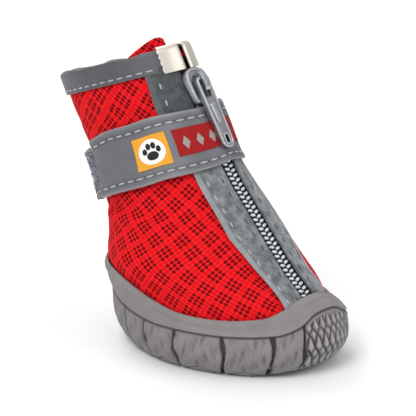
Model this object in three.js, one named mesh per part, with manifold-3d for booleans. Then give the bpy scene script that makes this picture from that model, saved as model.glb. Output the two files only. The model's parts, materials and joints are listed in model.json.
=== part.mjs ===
// Dog boot: a mesh upper on a moulded rubber cup sole, zipped up the front, with an ankle strap.
// Millimetres. +X points to the toe, +Y to the boot's left, +Z up. The sole stands on z = 0.
import * as THREE from 'three';
import { mergeVertices } from 'three/addons/utils/BufferGeometryUtils.js';
import Module from 'manifold-3d';

const wasm = await Module();
wasm.setup();

const DEGREE = Math.PI / 180;

// Driving dimensions
const GAP = 0.3;                 // clearance between neighbouring pieces
const WALL = 2.0;                // spacer mesh and lining of the upper
const COLLAR = 0.984;            // level at which the upper's wall ends inside the binding
const SOLE = { heel: -2.6, toe: 74.0, half: 28.0, roundToe: 2.0, roundHeel: 1.8, floor: 3.0, inside: 0.5 };
const RUBBER_WALL = { toe: 1.6, heel: 1.0 };   // rim band of the cup, outside the upper
const GROOVE = { depth: 1.1, rise: 1.6, half: 0.8, underRim: 0.7 };
const INSOLE = { thickness: 2.2, side: 1.0 };
const SLOT = { half: 3.4, bottom: 0.172 };
const ZIP = { half: 3.1, coil: 1.8, tape: -0.5, proud: 0.5, back: -1.4, bottom: 0.185, top: 0.925 };
const BINDING = { thickness: 0.6, low: 0.928 };
const CLAMP = { thickness: 0.5, low: 0.922, reach: 28 * DEGREE, gapHalf: 0.9 };
const STRAP = { inner: 1.0, thickness: 1.2, left: 128 * DEGREE, right: 114 * DEGREE, lift: 0.6 };
const PILE = { thickness: 1.0, from: 131 * DEGREE, to: 252 * DEGREE };
const TONGUE = { thickness: 1.2, side: 65 * DEGREE, bottom: 0.40, dome: 4.1, drop: 4.6, stand: 0.24 };
const SLIDER = { v: 0.875, length: 10.6, wideTop: 8.4, wideBottom: 7.0, lift: 0.95, thickness: 1.8 };
const BAIL = { from: -2.6, to: 3.4, clear: 2.3, thickness: 0.9, width: 1.8 };
const PULL = { hinge: 1.2, bar: 0.9, thickness: 1.3, length: 21.0, wideTop: 5.2, wideEnd: 4.4, window: 5.4 };

// Sections of the last, from the feather edge up to the collar. Each is a tilted ring: where it
// stands at the heel and the front, its half width, where it is widest and how square each end is.
const SECTION_COLUMNS = ['heelX', 'heelZ', 'frontX', 'frontZ', 'half', 'widest', 'squareFront', 'squareHeel'];
const SECTIONS = [
  /* feather */     [4.4, 3.4, 69.4, 3.8, 23.3, 0.50, 2.15, 1.95],
  /* bite line */   [0.9, 16.0, 64.9, 18.5, 25.3, 0.47, 2.00, 2.00],
  /* low vamp */    [-0.7, 26.0, 56.8, 27.0, 26.2, 0.44, 1.90, 2.00],
  /* high vamp */   [-1.3, 35.0, 46.2, 39.5, 23.0, 0.44, 1.85, 2.00],
  /* ankle */       [-5.2, 42.0, 37.2, 50.5, 18.5, 0.45, 1.90, 2.00],
  /* mid strap */   [-10.5, 50.0, 31.0, 60.5, 15.5, 0.46, 2.00, 2.00],
  /* shaft */       [-17.5, 59.0, 23.6, 71.8, 13.5, 0.47, 2.10, 2.00],
  /* collar edge */ [-24.5, 71.5, 16.5, 85.0, 12.5, 0.47, 2.10, 2.00],
];

// Rim of the cup around the foot: height and inset of the groove under the rim band,
// and the level on the last where the band ends. Angles run from the toe to the heel.
const RIM_COLUMNS = ['angle', 'grooveZ', 'grooveInset', 'level'];
const RIM = [
  [0, 17.8, 3.2, 0.168],
  [11, 17.2, 2.8, 0.160],
  [22, 14.8, 1.4, 0.140],
  [34, 13.0, 0.8, 0.124],
  [60, 12.3, 0.5, 0.122],
  [80, 12.2, 0.4, 0.135],
  [92, 12.2, 0.3, 0.172],
  [102, 12.3, 0.2, 0.215],
  [114, 12.8, 0.1, 0.248],
  [130, 13.6, 0.0, 0.262],
  [150, 14.6, 0.0, 0.268],
  [180, 15.0, 0.0, 0.270],
];

// Lower and upper edge of the ankle strap as levels on the last, from the front to the back.
const STRAP_COLUMNS = ['angle', 'low', 'high'];
const STRAP_EDGES = [
  [0, 0.618, 0.812],
  [27, 0.606, 0.816],
  [45, 0.598, 0.818],
  [67, 0.582, 0.812],
  [90, 0.560, 0.802],
  [118, 0.530, 0.774],
  [140, 0.512, 0.758],
  [180, 0.504, 0.750],
];

// Radial cuts between the side lugs, in degrees from the toe, the same on both sides.
const LUG_CUTS = [20, 38, 62, 86, 106, 122, 140];

const MATERIALS = {
  mesh: { color: 0xe3161c, roughness: 0.9 },
  rubber: { color: 0x8b8783, roughness: 0.75 },
  foam: { color: 0x3a3a3c, roughness: 0.95 },
  tape: { color: 0x6d6e71, roughness: 0.6 },
  pile: { color: 0xc9c2cf, roughness: 1.0 },
  coil: { color: 0xd8dadc, roughness: 0.4 },
  metal: { color: 0x9a9ca0, roughness: 0.35, metalness: 1.0 },
  clamp: { color: 0xd9d2c3, roughness: 0.35, metalness: 1.0 },
};

// ---------------------------------------------------------------- curves and tables

// Catmull-Rom value of a list of numbers, with straight ends.
function spline(values, position) {
  const last = values.length - 1;
  const i = Math.min(Math.max(Math.floor(position), 0), last - 1);
  const t = position - i;
  const [a, b, c, d] = [i - 1, i, i + 1, i + 2].map((k) => values[Math.min(Math.max(k, 0), last)]);
  return 0.5 * (2 * b + (c - a) * t + (2 * a - 5 * b + 4 * c - d) * t * t + (3 * b - a - 3 * c + d) * t ** 3);
}

// One row of a table whose first column is an angle in degrees, found for any angle on either side.
function around(table, columns, angle) {
  const turn = Math.abs(((angle / DEGREE + 180) % 360 + 360) % 360 - 180);
  const i = Math.max(1, table.findIndex((row) => row[0] >= turn));
  const share = (turn - table[i - 1][0]) / (table[i][0] - table[i - 1][0]);
  return Object.fromEntries(columns.map((name, k) => [name, spline(table.map((row) => row[k]), i - 1 + share)]));
}

const smooth = (from, to, value) => THREE.MathUtils.smoothstep(value, from, to);

const span = (from, to, steps) => Array.from({ length: steps + 1 }, (_, i) => from + ((to - from) * i) / steps);

function superellipse(angle, back, front, half, squareFront, squareBack) {
  const [c, s] = [Math.cos(angle), Math.sin(angle)];
  const square = c > 0 ? squareFront : squareBack;
  const reach = c > 0 ? front : back;
  return [
    reach * Math.sign(c) * Math.abs(c) ** (2 / square),
    half * Math.sign(s) * Math.abs(s) ** (2 / square),
  ];
}

// ---------------------------------------------------------------- the last

function section(level) {
  const position = level * (SECTIONS.length - 1);
  return Object.fromEntries(SECTION_COLUMNS.map((name, k) => [name, spline(SECTIONS.map((row) => row[k]), position)]));
}

// A point of the last: level 0 at the feather edge to 1 at the collar, angle from the front.
function last(level, angle) {
  const s = section(Math.min(level, 1));
  const middle = s.heelX + s.widest * (s.frontX - s.heelX);
  const [x, y] = superellipse(angle, middle - s.heelX, s.frontX - middle, s.half, s.squareFront, s.squareHeel);
  const rise = (s.frontZ - s.heelZ) / (s.frontX - s.heelX);
  return new THREE.Vector3(middle + x, y, s.heelZ + rise * (middle + x - s.heelX));
}

// The last's own directions at a point: up its wall, around it, and out of it.
function directions(level, angle) {
  const [dLevel, dAngle] = [0.01, 0.03];
  const low = Math.min(Math.max(level, dLevel), 1 - dLevel);
  const up = last(low + dLevel, angle).sub(last(low - dLevel, angle)).normalize();
  const along = last(low, angle + dAngle).sub(last(low, angle - dAngle)).normalize();
  const out = along.clone().cross(up).normalize();
  return { up, along, out };
}

// A point off the last: proud of its surface, and lifted along its wall.
function off(level, angle, proud, lift = 0) {
  const { up, out } = directions(level, angle);
  return last(level, angle).addScaledVector(out, proud).addScaledVector(up, lift);
}

// The angle at which a level's section stands a given distance to the left of the middle line.
function angleAt(level, y) {
  const s = section(level);
  return Math.asin((y / s.half) ** (s.squareFront / 2));
}

// ---------------------------------------------------------------- meshes

function geometryOf(points, triangles) {
  const geometry = new THREE.BufferGeometry();
  geometry.setAttribute('position', new THREE.Float32BufferAttribute(points.flatMap((p) => p.toArray()), 3));
  const volume = triangles.reduce((sum, [a, b, c]) => sum + points[a].dot(points[b].clone().cross(points[c])), 0);
  geometry.setIndex((volume > 0 ? triangles : triangles.map(([a, b, c]) => [a, c, b])).flat());
  return geometry;
}

// Two triangles for each cell of a grid of point numbers.
function cells(grid) {
  return grid.slice(1).flatMap((row, i) => row.slice(1).flatMap((corner, j) => {
    const [a, b, c, d] = [grid[i][j], grid[i][j + 1], corner, row[j]];
    return [[a, b, c], [a, c, d]];
  }));
}

// A solid between two faces of rows x columns points. Below the given row it closes on itself.
function slab(outer, inner, closedRows = 0) {
  const [rows, columns] = [outer.length, outer[0].length];
  const points = [...outer.flat(), ...inner.flat()];
  const number = (face, i, j) => face * rows * columns + i * columns + j;
  const face = (side) => span(0, rows - 1, rows - 1).map((i) => span(0, columns - 1, columns - 1).map((j) => number(side, i, j)));
  const [front, back] = [face(0), face(1).map((row) => row.slice().reverse())];
  const triangles = [...cells(front), ...cells(back)];
  const wall = (path) => triangles.push(...cells([path.map(([i, j]) => number(1, i, j)), path.map(([i, j]) => number(0, i, j))]));
  const end = columns - 1;
  if (closedRows > 0) {
    const seam = front.slice(0, closedRows + 1).map((row) => [row[end], row[0]]);
    const seamBack = back.slice(0, closedRows + 1).map((row) => [row[end], row[0]]);
    triangles.push(...cells(seam), ...cells(seamBack));
    wall([...span(0, end, end).map((j) => [0, j]), [0, 0]]);
    wall([[closedRows, end], ...span(closedRows + 1, rows - 1, rows - 2 - closedRows).map((i) => [i, end]),
      ...span(end - 1, 0, end - 1).map((j) => [rows - 1, j]),
      ...span(rows - 2, closedRows, rows - 2 - closedRows).map((i) => [i, 0]), [closedRows, end]]);
  } else {
    wall([...span(0, end, end).map((j) => [0, j]), ...span(1, rows - 1, rows - 2).map((i) => [i, end]),
      ...span(end - 1, 0, end - 1).map((j) => [rows - 1, j]), ...span(rows - 2, 0, rows - 2).map((i) => [i, 0])]);
  }
  return geometryOf(points, triangles);
}

// A solid through closed rings, with a fan at each end.
function loft(rings) {
  const size = rings[0].length;
  const points = rings.flat();
  const grid = rings.map((_, i) => [...span(0, size - 1, size - 1), 0].map((j) => i * size + j));
  const triangles = cells(grid);
  for (const [ring, flip] of [[0, true], [rings.length - 1, false]]) {
    const centre = rings[ring].reduce((sum, p) => sum.add(p), new THREE.Vector3()).divideScalar(size);
    const hub = points.push(centre) - 1;
    for (let j = 0; j < size; j += 1) {
      const [a, b] = [grid[ring][j], grid[ring][j + 1]];
      triangles.push(flip ? [b, a, hub] : [a, b, hub]);
    }
  }
  return geometryOf(points, triangles);
}

function manifoldOf(geometry) {
  const bare = geometry.clone();
  bare.deleteAttribute('normal');
  bare.deleteAttribute('uv');
  const merged = mergeVertices(bare, 1e-4);
  const mesh = new wasm.Mesh({
    numProp: 3,
    vertProperties: merged.attributes.position.array,
    triVerts: Uint32Array.from(merged.index.array),
  });
  return new wasm.Manifold(mesh);
}

function geometryFrom(manifold) {
  const mesh = manifold.getMesh();
  const geometry = new THREE.BufferGeometry();
  geometry.setAttribute('position', new THREE.Float32BufferAttribute(mesh.vertProperties, 3));
  geometry.setIndex(Array.from(mesh.triVerts));
  return geometry;
}

// ---------------------------------------------------------------- sole

// The tread lifts off the ground towards the toe and a little at the heel.
function treadZ(x) {
  const toeSpring = 0.0082 * Math.max(x - 54, 0) ** 2;
  const heelSpring = 0.019 * Math.max(12 - x, 0) ** 2;
  return toeSpring + heelSpring;
}

function soleOutline(angle, inset, z) {
  const middle = (SOLE.heel + SOLE.toe) / 2;
  const reach = (SOLE.toe - SOLE.heel) / 2 - inset;
  const [x, y] = superellipse(angle, reach, reach, SOLE.half - 0.8 * inset, SOLE.roundToe, SOLE.roundHeel);
  return new THREE.Vector3(middle + x, y, z);
}

function treadPoint(angle, inset, rise) {
  const point = soleOutline(angle, inset, 0);
  point.z = treadZ(point.x) + rise;
  return point;
}

// Angles of the cup's columns: plain ones between the lug cuts, and four at each cut.
function soleAngles() {
  const edges = [0, ...LUG_CUTS, 180];
  const oneSide = edges.slice(1).flatMap((edge, i) => {
    const start = edges[i] + (i > 0 ? 2 * GROOVE.half : 0);
    const stop = edge - (edge < 180 ? 2 * GROOVE.half : 0);
    const plain = span(start, stop, Math.ceil((stop - start) / 8)).map((angle) => ({ angle, cut: 0 }));
    const cut = edge < 180 ? [-GROOVE.half, GROOVE.half].map((d) => ({ angle: edge + d, cut: 1 })) : [];
    return [...plain, ...cut];
  });
  const otherSide = oneSide.slice(1, -1).reverse().map(({ angle, cut }) => ({ angle: 360 - angle, cut }));
  return [...oneSide, ...otherSide].map(({ angle, cut }) => ({ angle: angle * DEGREE, cut }));
}

// One upright profile of the cup, from the middle of the tread round the rim to the floor inside.
function cupProfile({ angle, cut }) {
  const rim = around(RIM, RIM_COLUMNS, angle);
  const rise = cut * GROOVE.rise;
  const depth = cut * GROOVE.depth;
  const towardsHeel = (1 - Math.cos(angle)) / 2;
  const outerGap = GAP + THREE.MathUtils.lerp(RUBBER_WALL.toe, RUBBER_WALL.heel, towardsHeel);
  const bandLow = soleOutline(angle, rim.grooveInset + 0.3, rim.grooveZ + 0.6);
  const bandTop = off(rim.level - 0.012, angle, outerGap);
  return [
    treadPoint(angle, 20.0, 0),
    treadPoint(angle, 13.4, 0),
    treadPoint(angle, 13.2, GROOVE.rise),
    treadPoint(angle, 11.9, GROOVE.rise),
    treadPoint(angle, 11.7, rise),
    treadPoint(angle, 6.8, rise),
    soleOutline(angle, 3.0 + depth, 0.20 * rim.grooveZ + 0.5 * rise),
    soleOutline(angle, 0.6 + depth, 0.52 * rim.grooveZ),
    soleOutline(angle, rim.grooveInset + depth, rim.grooveZ - 0.5),
    soleOutline(angle, rim.grooveInset + GROOVE.underRim, rim.grooveZ),
    bandLow,
    bandLow.clone().lerp(bandTop, 0.5).addScaledVector(directions(rim.level, angle).out, 0.35),
    bandTop,
    off(rim.level, angle, outerGap - 0.5),
    off(rim.level, angle, SOLE.inside + 0.2),
    ...span(rim.level - 0.012, 0.008, 6).map((level) => off(level, angle, SOLE.inside)),
    off(0, angle, SOLE.inside).setZ(SOLE.floor),
  ];
}

function outsole() {
  const profiles = soleAngles().map(cupProfile);
  const rings = profiles[0].map((_, i) => profiles.map((profile) => profile[i]));
  return loft(rings);
}

function insole() {
  const angles = span(0, 2 * Math.PI, 48).slice(0, -1);
  const ring = (z, side) => angles.map((angle) => off(0, angle, -WALL - side).setZ(z));
  const low = SOLE.floor + GAP;
  const high = low + INSOLE.thickness;
  return loft([ring(low, INSOLE.side), ring(high - 0.4, INSOLE.side), ring(high, INSOLE.side + 0.5)]);
}

// ---------------------------------------------------------------- upper and tongue

function upper() {
  const below = span(0, SLOT.bottom, 4);
  const above = span(SLOT.bottom, COLLAR, 15).slice(1);
  const levels = [...below, ...above];
  const face = (proud) => levels.map((level) => {
    const edge = angleAt(level, SLOT.half);
    return span(edge, 2 * Math.PI - edge, 40).map((angle) => off(level, angle, proud));
  });
  return slab(face(0), face(-WALL), below.length - 1);
}

// The guard behind the zip: it lies on the inside of the vamp, stands off towards the collar
// as a sheet across the opening, and ends in a dome above the edge.
function tonguePoint(t, w, deeper) {
  const level = TONGUE.bottom + t * (1 - TONGUE.bottom);
  const inside = -WALL - 0.5 - smooth(0.80, 0.92, level);
  const [right, left] = [-1, 1].map((side) => off(level, side * TONGUE.side, inside));
  const across = right.lerp(left, (w + 1) / 2);
  const stand = TONGUE.stand * smooth(0.60, 0.98, level);
  const { up, out } = directions(level, w * TONGUE.side);
  const facing = out.lerp(directions(level, 0).out, stand).normalize();
  const lift = (TONGUE.dome - TONGUE.drop * w * w) * smooth(0.8, 1, t);
  const point = off(level, w * TONGUE.side, inside).lerp(across, stand);
  return point.addScaledVector(facing, -deeper).addScaledVector(up, lift);
}

function tongue() {
  const face = (deeper) => span(0, 1, 12).map((t) => span(-1, 1, 14).map((w) => tonguePoint(t, w, deeper)));
  return slab(face(0), face(TONGUE.thickness));
}

// ---------------------------------------------------------------- collar, strap and pile

// A channel folded over the collar edge, between two angles.
function channel(from, to, steps, low, space, thickness) {
  const angles = span(from, to, steps);
  const fold = (gap) => [
    angles.map((angle) => off(low, angle, gap)),
    angles.map((angle) => off(COLLAR, angle, gap, gap)),
    angles.map((angle) => off(COLLAR, angle, -WALL - gap, gap)),
    angles.map((angle) => off(low, angle, -WALL - gap)),
  ];
  return slab(fold(space + thickness), fold(space));
}

function collarBinding() {
  const edge = angleAt(COLLAR, SLOT.half);
  return channel(edge, 2 * Math.PI - edge, 36, BINDING.low, GAP, BINDING.thickness);
}

function clamp(side) {
  const near = angleAt(COLLAR, CLAMP.gapHalf);
  return channel(side * near, side * CLAMP.reach, 4, CLAMP.low, 2 * GAP + BINDING.thickness, CLAMP.thickness);
}

// A band around the last between two edges given as levels.
function band(angles, edges, inner, thickness) {
  const face = (proud) => span(0, 1, 4).map((t) => angles.map((angle) => {
    const { low, high } = edges(angle);
    return off(low + t * (high - low), angle, inner(angle) + proud);
  }));
  return slab(face(thickness), face(0));
}

const strapEdges = (angle) => around(STRAP_EDGES, STRAP_COLUMNS, angle);

// The strap crosses the zip and rides up over the pile at the boot's right rear.
function ankleStrap() {
  const overPile = 2 * Math.PI - PILE.to;
  const inner = (angle) => STRAP.inner + STRAP.lift * smooth(0.8 * overPile, overPile, -angle);
  return band(span(-STRAP.right, STRAP.left, 36), strapEdges, inner, STRAP.thickness);
}

function pileBand() {
  const edges = (angle) => {
    const { low, high } = strapEdges(angle);
    return { low: low + 0.012, high: high - 0.022 };
  };
  return band(span(PILE.from, PILE.to, 18), edges, () => GAP, PILE.thickness);
}

// ---------------------------------------------------------------- zip

// Tape and closed coil, filling the slot from the toe to just under the clamps.
function zipChain() {
  const rows = [
    [ZIP.half, ZIP.half, ZIP.tape],
    [ZIP.coil + 0.1, ZIP.coil + 0.3, ZIP.tape],
    [ZIP.coil, ZIP.coil - 0.1, ZIP.proud],
    [-ZIP.coil, 0.1 - ZIP.coil, ZIP.proud],
    [-ZIP.coil - 0.1, -ZIP.coil - 0.3, ZIP.tape],
    [-ZIP.half, -ZIP.half, ZIP.tape],
  ];
  const levels = span(ZIP.bottom, ZIP.top, 18);
  const place = (level, y, proud) => off(level, Math.sign(y) * angleAt(level, Math.abs(y)), proud);
  const outer = rows.map(([y, , proud]) => levels.map((level) => place(level, y, proud)));
  const inner = rows.map(([, y]) => levels.map((level) => place(level, y, ZIP.back)));
  return slab(outer, inner);
}

// The slider's own frame: x across the boot, y up the zip, z out of it.
function sliderFrame() {
  const { up } = directions(SLIDER.v, 0);
  const out = new THREE.Vector3(up.z, 0, -up.x);
  const across = up.clone().cross(out);
  return new THREE.Matrix4().makeBasis(across, up, out).setPosition(last(SLIDER.v, 0));
}

function extrude(shape, depth, bevel) {
  const settings = { depth: depth - 2 * bevel, steps: 1, curveSegments: 6 };
  const edge = { bevelEnabled: bevel > 0, bevelThickness: bevel, bevelSize: bevel, bevelOffset: -bevel, bevelSegments: 1 };
  return new THREE.ExtrudeGeometry(shape, { ...settings, ...edge }).translate(0, 0, bevel);
}

function sliderBody() {
  const shape = new THREE.Shape();
  const [top, bottom, half] = [SLIDER.wideTop / 2, SLIDER.wideBottom / 2, SLIDER.length / 2];
  shape.moveTo(-bottom, 1.5 - half);
  shape.quadraticCurveTo(-bottom, -half, 1.5 - bottom, -half);
  shape.lineTo(bottom - 1.5, -half);
  shape.quadraticCurveTo(bottom, -half, bottom, 1.5 - half);
  shape.lineTo(top, half - 3);
  shape.quadraticCurveTo(top, half - 0.6, 1.2, half);
  shape.lineTo(-1.2, half);
  shape.quadraticCurveTo(-top, half - 0.6, -top, half - 3);
  return extrude(shape, SLIDER.thickness, 0.4).translate(0, 0, SLIDER.lift);
}

// The bail is an arch along the slider; its feet sink a little into the body.
function bail() {
  const foot = SLIDER.lift + SLIDER.thickness - 0.3;
  const crown = SLIDER.lift + SLIDER.thickness + BAIL.clear;
  const [from, to, wall] = [BAIL.from, BAIL.to, BAIL.thickness];
  const arch = new THREE.Shape();
  arch.moveTo(from, foot);
  arch.lineTo(from, crown);
  arch.quadraticCurveTo(from, crown + wall, from + wall, crown + wall);
  arch.lineTo(to - wall, crown + wall);
  arch.quadraticCurveTo(to, crown + wall, to, crown);
  arch.lineTo(to, foot);
  arch.lineTo(to - wall, foot);
  arch.lineTo(to - wall, crown);
  arch.lineTo(from + wall, crown);
  arch.lineTo(from + wall, foot);
  const plate = extrude(arch, BAIL.width, 0);
  const turn = new THREE.Matrix4().makeBasis(
    new THREE.Vector3(0, 1, 0), new THREE.Vector3(0, 0, 1), new THREE.Vector3(1, 0, 0));
  return plate.applyMatrix4(turn).translate(-BAIL.width / 2, 0, 0);
}

function slider() {
  return geometryFrom(manifoldOf(sliderBody()).add(manifoldOf(bail()))).applyMatrix4(sliderFrame());
}

// Where the pull's bar turns under the bail, and the spot on the strap that its end lies on.
function pullHinge() {
  const height = SLIDER.lift + SLIDER.thickness + BAIL.clear / 2;
  return new THREE.Vector3(0, PULL.hinge, height).applyMatrix4(sliderFrame());
}

function pullRest() {
  const height = STRAP.inner + STRAP.thickness + GAP + PULL.thickness / 2;
  return off(0.70, 0, height);
}

// The pull's own frame: its origin on the hinge, x across the boot, y back up towards the hinge.
function pullFrame() {
  const hinge = pullHinge();
  const up = hinge.clone().sub(pullRest()).normalize();
  const out = new THREE.Vector3(up.z, 0, -up.x);
  return new THREE.Matrix4().makeBasis(up.clone().cross(out), up, out).setPosition(hinge);
}

function pullTab() {
  const [top, end] = [PULL.wideTop / 2, PULL.wideEnd / 2];
  const shape = new THREE.Shape();
  shape.moveTo(-top, PULL.bar / 2 - 0.8);
  shape.quadraticCurveTo(-top, PULL.bar / 2, 0.8 - top, PULL.bar / 2);
  shape.lineTo(top - 0.8, PULL.bar / 2);
  shape.quadraticCurveTo(top, PULL.bar / 2, top, PULL.bar / 2 - 0.8);
  shape.lineTo(end, end - PULL.length);
  shape.absarc(0, end - PULL.length, end, 0, -Math.PI, true);
  const frame = 1.15;
  const hole = new THREE.Path();
  hole.moveTo(frame - top, -PULL.bar / 2);
  hole.lineTo(frame - top, -PULL.window);
  hole.lineTo(top - frame, -PULL.window);
  hole.lineTo(top - frame, -PULL.bar / 2);
  const slot = new THREE.Path();
  slot.moveTo(-0.6, 3.6 - PULL.length);
  slot.lineTo(-0.6, 1.6 - PULL.length);
  slot.lineTo(0.6, 1.6 - PULL.length);
  slot.lineTo(0.6, 3.6 - PULL.length);
  shape.holes.push(hole, slot);
  return extrude(shape, PULL.thickness, 0.2).translate(0, 0, -PULL.thickness / 2).applyMatrix4(pullFrame());
}

// ---------------------------------------------------------------- the boot

const boot = new THREE.Group();

function add(name, geometry, look) {
  const mesh = new THREE.Mesh(geometry, new THREE.MeshStandardMaterial(MATERIALS[look]));
  mesh.name = name;
  boot.add(mesh);
}

add('outsole', outsole(), 'rubber');
add('insole', insole(), 'foam');
add('upper', upper(), 'mesh');
add('tongue', tongue(), 'mesh');
add('collar_binding', collarBinding(), 'tape');
add('binding_clamp_left', clamp(1), 'clamp');
add('binding_clamp_right', clamp(-1), 'clamp');
add('ankle_strap', ankleStrap(), 'tape');
add('strap_pile', pileBand(), 'pile');
add('zip_chain', zipChain(), 'coil');
add('zip_slider', slider(), 'metal');
add('zip_pull', pullTab(), 'metal');

// The origin is under the middle of the whole boot.
const box = new THREE.Box3().setFromObject(boot);
boot.position.set(-(box.min.x + box.max.x) / 2, -(box.min.y + box.max.y) / 2, -box.min.z);

export default boot;
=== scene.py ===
import json
from math import atan, cos, pi, radians, sin

import bmesh
import bpy
import numpy as np
from mathutils import Matrix, Vector


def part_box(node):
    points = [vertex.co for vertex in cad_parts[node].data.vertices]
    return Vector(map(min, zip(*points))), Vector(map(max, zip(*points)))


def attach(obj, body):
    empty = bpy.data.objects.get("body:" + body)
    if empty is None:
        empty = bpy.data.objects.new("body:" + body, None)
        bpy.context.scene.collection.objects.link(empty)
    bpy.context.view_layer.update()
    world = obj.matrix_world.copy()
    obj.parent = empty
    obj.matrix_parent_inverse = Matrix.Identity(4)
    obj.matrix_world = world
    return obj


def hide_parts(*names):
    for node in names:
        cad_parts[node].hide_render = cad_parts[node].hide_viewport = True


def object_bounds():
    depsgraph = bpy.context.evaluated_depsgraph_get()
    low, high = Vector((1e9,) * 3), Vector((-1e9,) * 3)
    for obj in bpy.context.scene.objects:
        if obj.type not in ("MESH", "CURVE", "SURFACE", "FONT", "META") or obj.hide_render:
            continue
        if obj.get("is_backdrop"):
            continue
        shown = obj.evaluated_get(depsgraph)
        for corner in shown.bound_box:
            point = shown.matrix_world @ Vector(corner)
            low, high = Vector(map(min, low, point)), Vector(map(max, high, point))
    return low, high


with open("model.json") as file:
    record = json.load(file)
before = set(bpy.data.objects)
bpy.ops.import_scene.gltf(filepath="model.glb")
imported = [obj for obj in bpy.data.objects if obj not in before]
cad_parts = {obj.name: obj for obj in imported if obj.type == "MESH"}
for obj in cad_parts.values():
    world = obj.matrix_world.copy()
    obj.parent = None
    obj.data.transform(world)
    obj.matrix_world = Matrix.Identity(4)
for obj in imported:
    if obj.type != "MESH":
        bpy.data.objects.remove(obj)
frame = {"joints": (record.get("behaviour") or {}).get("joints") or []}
cad_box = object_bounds()

# ---------------------------------------------------------------- view, floor and light
# The boot stands on a white sweep. A large soft light hangs above and to the left of it,
# weaker ones fill the right side and the back, and a pale room lights the rest.

AZIMUTH = radians(-50)
ELEVATION = radians(15.5)
DISTANCE = 0.642
AIM = Vector((0.0032, -0.0065, 0.0445))   # the boot stands a little to the right of the view's axis
FIELD = 0.0587                            # half the view's width at the aim, in metres

back = Vector((cos(AZIMUTH) * cos(ELEVATION), sin(AZIMUTH) * cos(ELEVATION), sin(ELEVATION)))
camera_data = bpy.data.cameras.new("view")
camera_data.angle = 2 * atan(FIELD / DISTANCE)
camera_data.shift_x = 0.0417
camera_data.shift_y = -0.0324
camera = bpy.data.objects.new("view", camera_data)
camera.location = AIM + DISTANCE * back
camera.rotation_euler = (-back).to_track_quat("-Z", "Y").to_euler()
bpy.context.collection.objects.link(camera)
bpy.context.scene.camera = camera
bpy.context.scene.view_settings.view_transform = "Standard"


def linear(code):
    """The linear colour of an sRGB hex code."""
    shares = [int(code[i:i + 2], 16) / 255 for i in (1, 3, 5)]
    return [s / 12.92 if s <= 0.04045 else ((s + 0.055) / 1.055) ** 2.4 for s in shares] + [1.0]


def add(tree, kind, inputs=None, **settings):
    """Adds one node: its own settings, then what each input takes, a number or another socket."""
    node = tree.nodes.new("ShaderNode" + kind)
    for name, value in settings.items():
        setattr(node, name, value)
    for name, value in (inputs or {}).items():
        if isinstance(value, bpy.types.NodeSocket):
            tree.links.new(value, node.inputs[name])
        else:
            node.inputs[name].default_value = value
    return node


def new_finish(name, roughness, constants=None):
    """A new material and its shader, with the constants set on the shader itself."""
    material = bpy.data.materials.new(name)
    material.use_nodes = True
    shader = material.node_tree.nodes["Principled BSDF"]
    shader.inputs["Roughness"].default_value = roughness
    for socket, value in (constants or {}).items():
        shader.inputs[socket].default_value = value
    return material, material.node_tree, shader


def blend_colours(tree, share, first, second):
    """A mix of two colours, each a hex code or a socket."""
    colours = [linear(c) if isinstance(c, str) else c for c in (first, second)]
    return add(tree, "Mix", {0: share, 6: colours[0], 7: colours[1]}, data_type="RGBA").outputs[2]


# The sweep: painted board, matt and nearly white.
painted_board, tree, shader = new_finish("painted_board", 0.7)
spots = add(tree, "TexCoord").outputs["Object"]
mottle = add(tree, "TexNoise", {"Vector": spots, "Scale": 3.0}).outputs["Fac"]
tree.links.new(blend_colours(tree, mottle, "#fbfbfc", "#f6f6f7"), shader.inputs["Base Color"])

shape = bmesh.new()
bmesh.ops.create_grid(shape, x_segments=1, y_segments=1, size=3.0)
sweep_mesh = bpy.data.meshes.new("sweep")
shape.to_mesh(sweep_mesh)
sweep = bpy.data.objects.new("sweep", sweep_mesh)
sweep_mesh.materials.append(painted_board)
bpy.context.collection.objects.link(sweep)
sweep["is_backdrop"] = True

world = bpy.data.worlds.new("room")
world.use_nodes = True
tree = world.node_tree
skyward = add(tree, "SeparateXYZ", {0: add(tree, "TexCoord").outputs["Generated"]}).outputs["Z"]
walls = add(tree, "MapRange", {"Value": skyward, "From Min": -0.1, "From Max": 0.75}).outputs[0]
tree.links.new(blend_colours(tree, walls, "#8e9094", "#ffffff"), tree.nodes["Background"].inputs["Color"])
tree.nodes["Background"].inputs["Strength"].default_value = 0.72
bpy.context.scene.world = world

# Each light: where it hangs, how wide it is, its power in watts.
for name, spot, size, power in (("key", (0.15, -0.95, 0.95), 0.7, 9.0),
                                ("fill", (0.95, 0.25, 0.55), 0.8, 3.0),
                                ("rim", (-0.75, 0.35, 0.80), 0.6, 4.0)):
    light = bpy.data.lights.new(name, "AREA")
    light.size = size
    light.energy = power
    lamp = bpy.data.objects.new(name, light)
    lamp.location = spot
    lamp.rotation_euler = (Vector(spot) - AIM).to_track_quat("Z", "Y").to_euler()
    bpy.context.collection.objects.link(lamp)

# ---------------------------------------------------------------- upper
# The upper is a sock of 2 mm spacer mesh: an open knit of bright red polyester with small holes
# 1.4 mm apart in clusters, backed with a smooth lining. It is lasted, so it is taut and round over the
# foot, with soft creases at the ankle and below the strap.

MM = 0.001
HEEL_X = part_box("outsole")[1].x - 73.4 * MM    # where the last's own x = 0 stands in the frame
WALL = 2.0
COLLAR = 0.984

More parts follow.
